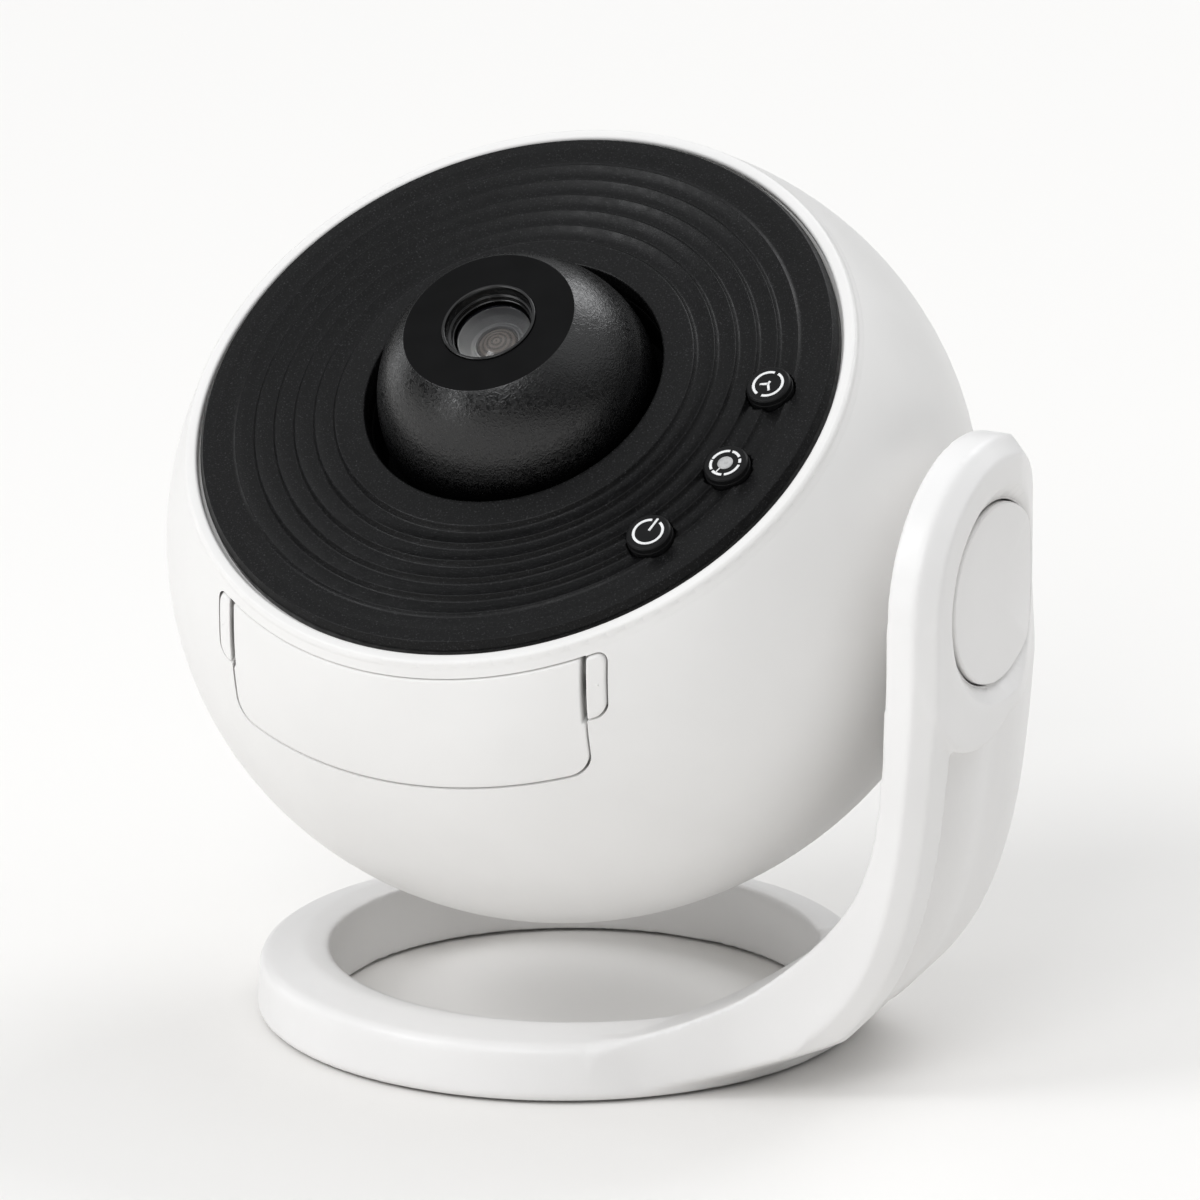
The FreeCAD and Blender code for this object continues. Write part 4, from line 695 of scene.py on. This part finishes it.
# %% [markdown]
# ## Drawer front and latch keys
# These pieces are inlaid in the ball's skin, so they are drawn flat as an outline over width and height and
# then laid on the ball. The rows of the grid start in the middle of the back, run out to the outline, roll
# over the edge as a quarter circle and shrink again towards the middle of the front. Blender could do this
# with an extruded curve, a Shrinkwrap and a Bevel, but the formula keeps the edge even all round.


# %% Inlaid pieces
def even(loop, count):
    """The closed loop again, with its points at even distances."""
    closed = np.vstack([loop, loop[:1]])
    run = np.concatenate([[0.0], np.cumsum(np.linalg.norm(np.diff(closed, axis=0), axis=1))])
    at = np.linspace(0, run[-1], count, endpoint=False)
    return np.stack([np.interp(at, run, closed[:, 0]), np.interp(at, run, closed[:, 1])], axis=1)


def on_ball(flat, off):
    """Points (x, z) laid on the front of the ball, its surface moved inwards by off."""
    x, z = flat.T
    y = -np.sqrt(np.maximum(ball_outline(z, off) ** 2 - x ** 2, 0))
    return np.stack([x, y, z], axis=1)


def inlay(name, outline, front, back, edge, count=560, shrink=12):
    """Plate between two depths under the ball's skin: its front edge is a quarter circle of radius edge."""
    loop = even(outline, count)
    along = np.roll(loop, -1, axis=0) - np.roll(loop, 1, axis=0)
    inward = np.stack([-along[:, 1], along[:, 0]], axis=1) / np.linalg.norm(along, axis=1)[:, None]
    middle = 0.5 * (loop.min(axis=0) + loop.max(axis=0))
    if (inward * (middle - loop)).sum() < 0:
        inward = -inward
    rows = [on_ball(middle + s * (loop - middle), back) for s in np.linspace(0, 1, shrink)[:-1]]
    rows.append(on_ball(loop, back))
    for a in np.radians(np.linspace(0, 90, 6)):
        rows.append(on_ball(loop + edge * (1 - math.cos(a)) * inward, front + edge * (1 - math.sin(a))))
    face = loop + edge * inward
    rows += [on_ball(middle + s * (face - middle), front) for s in np.linspace(1, 0, shrink)[1:]]
    obj = mesh_object(name, in_ball(np.vstack(rows)), quads(len(rows), count, False, True))
    weigh_normals(obj)
    return obj


DOOR_X, DOOR_SIDE, DOOR_LOW, DOOR_HIGH = 38.5, 37.9, 15.55, 36.88
half = [(DOOR_X, DOOR_LOW, 3.8), (DOOR_X, 25.3, 0.25), (DOOR_SIDE, 25.7, 0.25), (DOOR_SIDE, DOOR_HIGH, 0.5)]
door = rounded(half + [(-x, z, r) for x, z, r in half[::-1]], steps=8, loop=True)
dress(inlay("drawer_skin", door, 0.0, 2.2, 0.25, count=640), "drawer", WHITE_SHELL,
      ["drawer_front"])

# %% [markdown]
# ### Latch keys
# A key is pinched sideways to free the drawer. Behind each one a stem runs into the ball, and from its end a
# leaning bar reaches in behind the drawer front. Both sides are the same key, the left one mirrored.

# %% Latch keys with their stems and bars
BAR_Z, BAR_LEAN, BAR_START, BAR_LONG = (29.2, 32.2), math.radians(33.8), np.array([40.2, -53.5]), 9.0
STEM_FRONT, STEM_WIDE, BAR_WIDE = -59.6, 2.0, 1.6


def bar(start, end, wide, low, high):
    """Bar with rounded edges between two points (x, y): a rounded section over its length, ends closed."""
    start, end = np.array(start, float), np.array(end, float)
    along = (end - start) / np.linalg.norm(end - start)
    across = np.array([-along[1], along[0]])
    w, mid, tall = wide / 2, 0.5 * (low + high), 0.5 * (high - low)
    section = rounded([(w, -tall, 0.2), (w, tall, 0.2), (-w, tall, 0.2), (-w, -tall, 0.2)], steps=3,
                      loop=True)
    rows = [(start, 0.0), (start, 0.9), (start + 0.1 * along, 1.0),
            (end - 0.1 * along, 1.0), (end, 0.9), (end, 0.0)]
    grid = [np.column_stack([place + size * section[:, :1] * across, mid + size * section[:, 1]])
            for place, size in rows]
    return np.vstack(grid), quads(len(rows), len(section), False, True)


for side, name in ((1, "right"), (-1, "left")):
    mirror = np.array([side, 1.0])
    corners = [(39.0, 26.2, 0.4), (42.2, 26.2, 2.0), (42.2, 36.8, 2.0), (39.0, 36.8, 0.4)]
    outline = rounded(corners, steps=8, loop=True) * mirror
    dress(inlay("latch_key_" + name, outline, -0.2, 1.35, 0.35, count=200, shrink=6), "latch_" + name,
          WHITE_SHELL, ["latch_" + name])
    way = np.array([math.cos(BAR_LEAN), math.sin(BAR_LEAN)])
    bars = {"stem": ((BAR_START[0], STEM_FRONT), (BAR_START[0], BAR_START[1] + 0.6), STEM_WIDE),
            "bar": (BAR_START, BAR_START - BAR_LONG * way, BAR_WIDE)}
    for part, (start, end, wide) in bars.items():
        points, faces = bar(start * mirror, end * mirror, wide, *BAR_Z)
        dress(mesh_object("latch_%s_%s" % (part, name), in_ball(points), faces), "latch_" + name, WHITE_SHELL)

# %% [markdown]
# ## The dome
# The dome is a ball with its top cut flat. Its outline is one arc, a small radius and a flat, so it is turned
# as well, in enough steps to give the leather grain a clean base. The flat has a finer grain than the arc, so
# the faces that lie level there get a material of their own.

# %% Focus dome
DOME_R, DOME_Z, FLAT_Z = 27.5, 40.0, 61.5
DOME_WALL, DOME_LOW, INNER_TOP = 2.0, 27.1, 58.9
BEZEL_R, BARREL_R, TUBE_R, TUBE_LOW = 9.45, 9.65, 11.7, 22.3
BEZEL_SEAT, STOP_Z = 58.8, 57.8


def arc(radius, centre_z, start, end, steps):
    """Arc of a circle centred on the axis, from one angle above the horizon to another."""
    a = np.radians(np.linspace(start, end, steps))
    return np.stack([radius * np.cos(a), centre_z + radius * np.sin(a)], axis=1)


flat_angle = math.degrees(math.asin((FLAT_Z - DOME_Z) / DOME_R))
low_angle = math.degrees(math.asin((DOME_LOW - DOME_Z) / DOME_R))
flat_r = DOME_R * math.cos(math.radians(flat_angle))
outside = arc(DOME_R, DOME_Z, low_angle, flat_angle - 1.2, 70)
shoulder = rounded([tuple(outside[-1]) + (0,), (flat_r, FLAT_Z, 0.3), (BEZEL_R, FLAT_Z, 0.12),
                    (BEZEL_R, BEZEL_SEAT, 0), (BEZEL_R - 0.8, BEZEL_SEAT, 0), (BEZEL_R - 0.8, STOP_Z, 0),
                    (BARREL_R, STOP_Z, 0), (BARREL_R, TUBE_LOW, 0), (TUBE_R, TUBE_LOW, 0),
                    (TUBE_R, INNER_TOP, 0)])
inner_angle = math.degrees(math.asin((INNER_TOP - DOME_Z) / (DOME_R - DOME_WALL)))
inside = arc(DOME_R - DOME_WALL, DOME_Z, inner_angle, low_angle + 3, 40)
dome_profile = np.vstack([outside, shoulder[1:], inside])
dome = turned_piece("grained_dome", dome_profile, count=256)
dome.data.materials.append(BLACK_DOME)
dome.data.materials.append(BLACK_FLAT)
heights = (np.array([p.center for p in dome.data.polygons]) - PIVOT) @ FACE / MM
normals = np.array([p.normal for p in dome.data.polygons]) @ FACE
level = (heights > FLAT_Z - 0.05) & (normals > 0.95)
dome.data.polygons.foreach_set("material_index", level.astype(np.int32))
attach(dome, "dome")
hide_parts("focus_dome")
print("dome faces:", len(dome.data.polygons), "of them flat:", int(level.sum()))

# %% [markdown]
# ### Lens ring and lenses
# In the dome's flat sits a glossy ring with fine steps. Just below it comes the front glass, and through it
# one sees a cone with painted light and shade, and a second, smaller lens with painted reflection rings. A
# lens is two shallow caps of a ball on a short edge.

# %% Lens ring, glass and cone with painted light
ring = rounded([(9.4, 58.8, 0), (9.4, 61.85, 0.2), (8.85, 61.85, 0.2), (8.6, 61.2, 0.12), (8.45, 59.9, 0.1),
                (8.05, 59.9, 0.1), (7.95, 58.9, 0.1), (7.6, 58.8, 0)], loop=True)
dress(turned_piece("stepped_lens_ring", ring, count=192), "dome", BLACK_GLOSS, ["lens_bezel"])


def lens_profile(radius, low, high, low_apex, high_apex, steps=24):
    """Lens: a spherical cap below and above a short cylindrical edge, starting and ending on the axis."""
    t = np.linspace(0, 1, steps)[:, None]

    def cap(edge_z, apex_z):
        sag = apex_z - edge_z
        ball_radius = (radius ** 2 + sag ** 2) / (2 * abs(sag))
        r = radius * t[:, 0]
        drop = ball_radius - np.sqrt(ball_radius ** 2 - r ** 2)
        return np.stack([r, apex_z - math.copysign(1, sag) * drop], axis=1)

    return np.vstack([cap(low, low_apex), cap(high, high_apex)[::-1]])


dress(turned_piece("front_glass", lens_profile(7.35, 57.7, 58.2, 57.5, 59.2), count=128, loop=False), "lens",
      FRONT_GLASS, ["front_lens"])
dress(turned_piece("second_glass", lens_profile(4.05, 53.4, 55.0, 53.2, 56.1), count=96, loop=False), "lens",
      PAINTED_RINGS_GLASS, ["rear_lens"])
cone = rounded([(4.1, 53.0, 0), (6.9, 50.5, 0), (7.4, 50.5, 0), (7.4, 57.6, 0.1), (7.2, 57.6, 0.1),
                (5.3, 55.1, 0.4), (4.75, 55.1, 0.15), (4.55, 55.55, 0.1), (4.25, 55.55, 0.1),
                (4.1, 54.8, 0.1)], loop=True)
dress(turned_piece("cone_painted_light_and_shade", cone, count=128), "lens", PAINTED_LIGHT_CONE, ["lens_stop"])

# %% [markdown]
# ## Keys with printed signs
# Each key is a small turned cap with a soft bevel. The signs are generic: a power sign, a ring with a shaded
# body for the turning sky, and a dial for the timer. They are printed on, so they are thin flat strokes a few
# hundredths of a millimetre proud. An arc stroke is a band between two radii over a range of angles, and a
# straight stroke is the same grid over a length and a width.

# %% Key caps
KEY_TOP = 44.0
SIGN_Z = KEY_TOP + 0.035
SIGN_TURN = math.radians(-11.5)
WHITE_PRINT = moulded("white_print", (0.80, 0.80, 0.80), (0.86, 0.86, 0.86), 0.5, 0.1, 0.01, 0.3, 2.0)
GREY_PRINT = moulded("grey_print", (0.42, 0.42, 0.42), (0.50, 0.50, 0.50), 0.5, 0.1, 0.01, 0.3, 0.6)

for key, angle in KEYS.items():
    cap = rounded([(0, KEY_TOP, 0), (4.1, KEY_TOP, 0.35), (4.45, KEY_TOP - 0.3, 0.15), (4.5, 42.7, 0.1),
                   (KEY_R, 42.6, 0.1), (KEY_R, 39.6, 0), (5.3, 39.6, 0), (5.3, 38.6, 0), (1.3, 38.6, 0),
                   (1.3, 36.55, 0), (0, 36.55, 0)])
    dress(turned_piece("key_" + key, cap, count=96, loop=False, centre=at_angle(KEY_RING, angle)),
          "key_" + key, BLACK_KEY, ["button_" + key])


# %% Strokes
def arc_stroke(r_in, r_out, start, end):
    """Flat band: point(a, r) = (r sin a, r cos a), a in degrees clockwise from the top of the sign."""
    a = np.radians(np.linspace(start, end, max(3, int(abs(end - start) / 4))))[:, None]
    r = np.array([r_in, r_out])
    return np.stack([r * np.sin(a), r * np.cos(a)], axis=2)


def bar_stroke(x0, y0, x1, y1, width, end_width=None):
    """Flat bar from one point to another, width mm wide at its start and end_width at its end."""
    a, b = np.array([x0, y0]), np.array([x1, y1])
    across = np.array([-(b - a)[1], (b - a)[0]]) / np.linalg.norm(b - a)
    side, end_side = across * width / 2, across * (end_width or width) / 2
    return np.stack([[a - side, a + side], [b - end_side, b + end_side]])


def sign(name, key, strokes, material):
    """Join strokes into one sign on a key: turned to the sign's own top, moved to the key, given a body."""
    points, faces, base = [], [], 0
    turn = np.array([[math.cos(SIGN_TURN), math.sin(SIGN_TURN)], [-math.sin(SIGN_TURN), math.cos(SIGN_TURN)]])
    for stroke in strokes:
        rows, cols = stroke.shape[:2]
        flat = stroke.reshape(-1, 2) @ turn + np.array(at_angle(KEY_RING, KEYS[key]))
        points.append(np.column_stack([flat, np.full(len(flat), SIGN_Z)]))
        faces.append(quads(rows, cols, False, False) + base)
        base += len(flat)
    obj = mesh_object(name, in_ball(np.vstack(points)), np.vstack(faces), turn_out=False)
    up = np.array([p.normal for p in obj.data.polygons]) @ FACE
    if up.mean() < 0:
        obj.data.flip_normals()
    body = obj.modifiers.new("ink", "SOLIDIFY")
    body.thickness, body.offset = 0.03 * MM, -1
    return dress(obj, "key_" + key, material)


BAND = (2.65, 3.2)
SKY_ARCS = ((-5, 38), (48, 68), (78, 150), (160, 205), (215, 262), (268, 345))
power = [arc_stroke(*BAND, 18, 342), bar_stroke(0, 0.3, 0, 3.5, 0.5)]
timer = [arc_stroke(*BAND, 9, 172), arc_stroke(*BAND, 194, 353), bar_stroke(0, 0, 0, 0.75, 0.5),
         bar_stroke(0, 0, -1.55, -0.7, 0.62, 0.4), bar_stroke(0, 0, 1.1, -1.3, 0.5)]
rotate = [arc_stroke(*BAND, start, end) for start, end in SKY_ARCS]
rotate.append(bar_stroke(-0.25, -1.5, -0.45, -2.75, 0.25))
sign("print_power", "power", power, WHITE_PRINT)
sign("print_timer", "timer", timer, WHITE_PRINT)
sign("print_rotate", "rotate", rotate, WHITE_PRINT)
sign("print_body", "rotate", [arc_stroke(0.02, 1.55, 0, 360)], GREY_PRINT)

# %% [markdown]
# ## Floor and sky
# The floor is a plain pale plane that runs on behind. The sky is dark at the horizon and pale at the zenith,
# so the white ball is lit softly from above and still keeps a shaded side.

# %% Floor and sky
FLOOR_TONE, FLOOR_HALF = (0.872, 0.858, 0.838), 40000
span = np.linspace(-FLOOR_HALF, FLOOR_HALF, 3)
floor_grid = np.stack([*np.meshgrid(span, span, indexing="ij"), np.zeros((3, 3))], axis=2)
floor = mesh_object("floor", in_place(floor_grid.reshape(-1, 3)), quads(3, 3, False, False), turn_out=False)
material, tree, bsdf = shader("pale_floor", 0.7, Specular_IOR_Level=0.2)
bsdf.inputs["Base Color"].default_value = (*FLOOR_TONE, 1)
floor.data.materials.append(material)

world = bpy.data.worlds.new("pale_sky")
bpy.context.scene.world = world
world.use_nodes = True
HORIZON, ZENITH = 0.0, 0.97
sky = world.node_tree.nodes["Background"]
sky.inputs["Color"].default_value = (0.975, 0.987, 1.0, 1)
direction = world.node_tree.nodes.new("ShaderNodeTexCoord")
split = world.node_tree.nodes.new("ShaderNodeSeparateXYZ")
world.node_tree.links.new(direction.outputs["Generated"], split.inputs["Vector"])
climb = mapped(world.node_tree, split.outputs["Z"], HORIZON, ZENITH)
world.node_tree.links.new(climb, sky.inputs["Strength"])

# %% [markdown]
# ## Lamps
# A product is lit with large lamps, because the size of a lamp is what softens its shadow. Two stand at the
# front and front left, and one behind and above draws the rims. Weak ones low on the left and high on the
# right open the shadows, and a small low one at the front gives the dome its glint. They stay weak enough for
# the white ball not to burn out while the black face shows its steps.


# %% Lamps
def soft_light(name, place, aim, size, power, colour):
    """Square area lamp at place, looking at aim, both in metres."""
    lamp = bpy.data.lights.new(name, "AREA")
    lamp.size, lamp.energy, lamp.color = size, power, colour
    obj = bpy.data.objects.new(name, lamp)
    bpy.context.scene.collection.objects.link(obj)
    obj.location = place
    way = np.array(place) - np.array(aim)
    obj.rotation_mode = "QUATERNION"
    obj.rotation_quaternion = Vector(way).to_track_quat("Z", "Y")
    return obj


LIGHTS = {
    "front_left": ((-1.9, -2.2, 2.3), 1.4, 38.0), "front_mid": ((0.4, -2.9, 2.2), 1.4, 28.0),
    "back_top": ((0.6, 2.2, 2.4), 1.6, 29.0), "left_low": ((-3.0, 0.2, 0.6), 1.2, 7.0),
    "right_top": ((2.3, 0.6, 2.6), 3.0, 9.0), "front_low": ((-1.4, -2.9, 0.45), 0.6, 8.0)}
COOL, AIM = (0.975, 0.985, 1.0), (0, 0, 0.09)
for name, (place, size, power) in LIGHTS.items():
    soft_light(name, place, AIM, size, power, COOL)
print("lamps:", len(LIGHTS))

# %% [markdown]
# ## Camera
# The camera stands four metres off with a very long lens, so the object is seen almost without perspective.
# Its three directions form its matrix straight away, which needs no tracking constraint.

# %% Camera
PIXELS_PER_MM, IMAGE_WIDE, SENSOR = 5.13, 1200, 36.0
CAMERA_FAR, LOOK_RIGHT, LOOK_DOWN = 4000.0, 4.91, 14.57
VIEW_RIGHT, VIEW_UP, VIEW_BACK = (np.array(v) for v in (
    (0.8817, 0.4718, 0.0), (-0.1422, 0.2657, 0.9536), (0.4499, -0.8407, 0.3014)))
camera = bpy.data.objects.new("camera", bpy.data.cameras.new("camera"))
bpy.context.scene.collection.objects.link(camera)
bpy.context.scene.camera = camera
camera.data.sensor_width = SENSOR
camera.data.lens = SENSOR * PIXELS_PER_MM * CAMERA_FAR / IMAGE_WIDE
camera.data.clip_start, camera.data.clip_end = 0.5, 100.0
seat = PIVOT + MM * (LOOK_RIGHT * VIEW_RIGHT - LOOK_DOWN * VIEW_UP + CAMERA_FAR * VIEW_BACK)
axes = np.column_stack([VIEW_RIGHT, VIEW_UP, VIEW_BACK, seat])
camera.matrix_world = Matrix(np.vstack([axes, [0, 0, 0, 1]]).tolist())
bpy.context.scene.view_settings.view_transform = "Standard"
print("camera lens:", round(camera.data.lens), "mm")
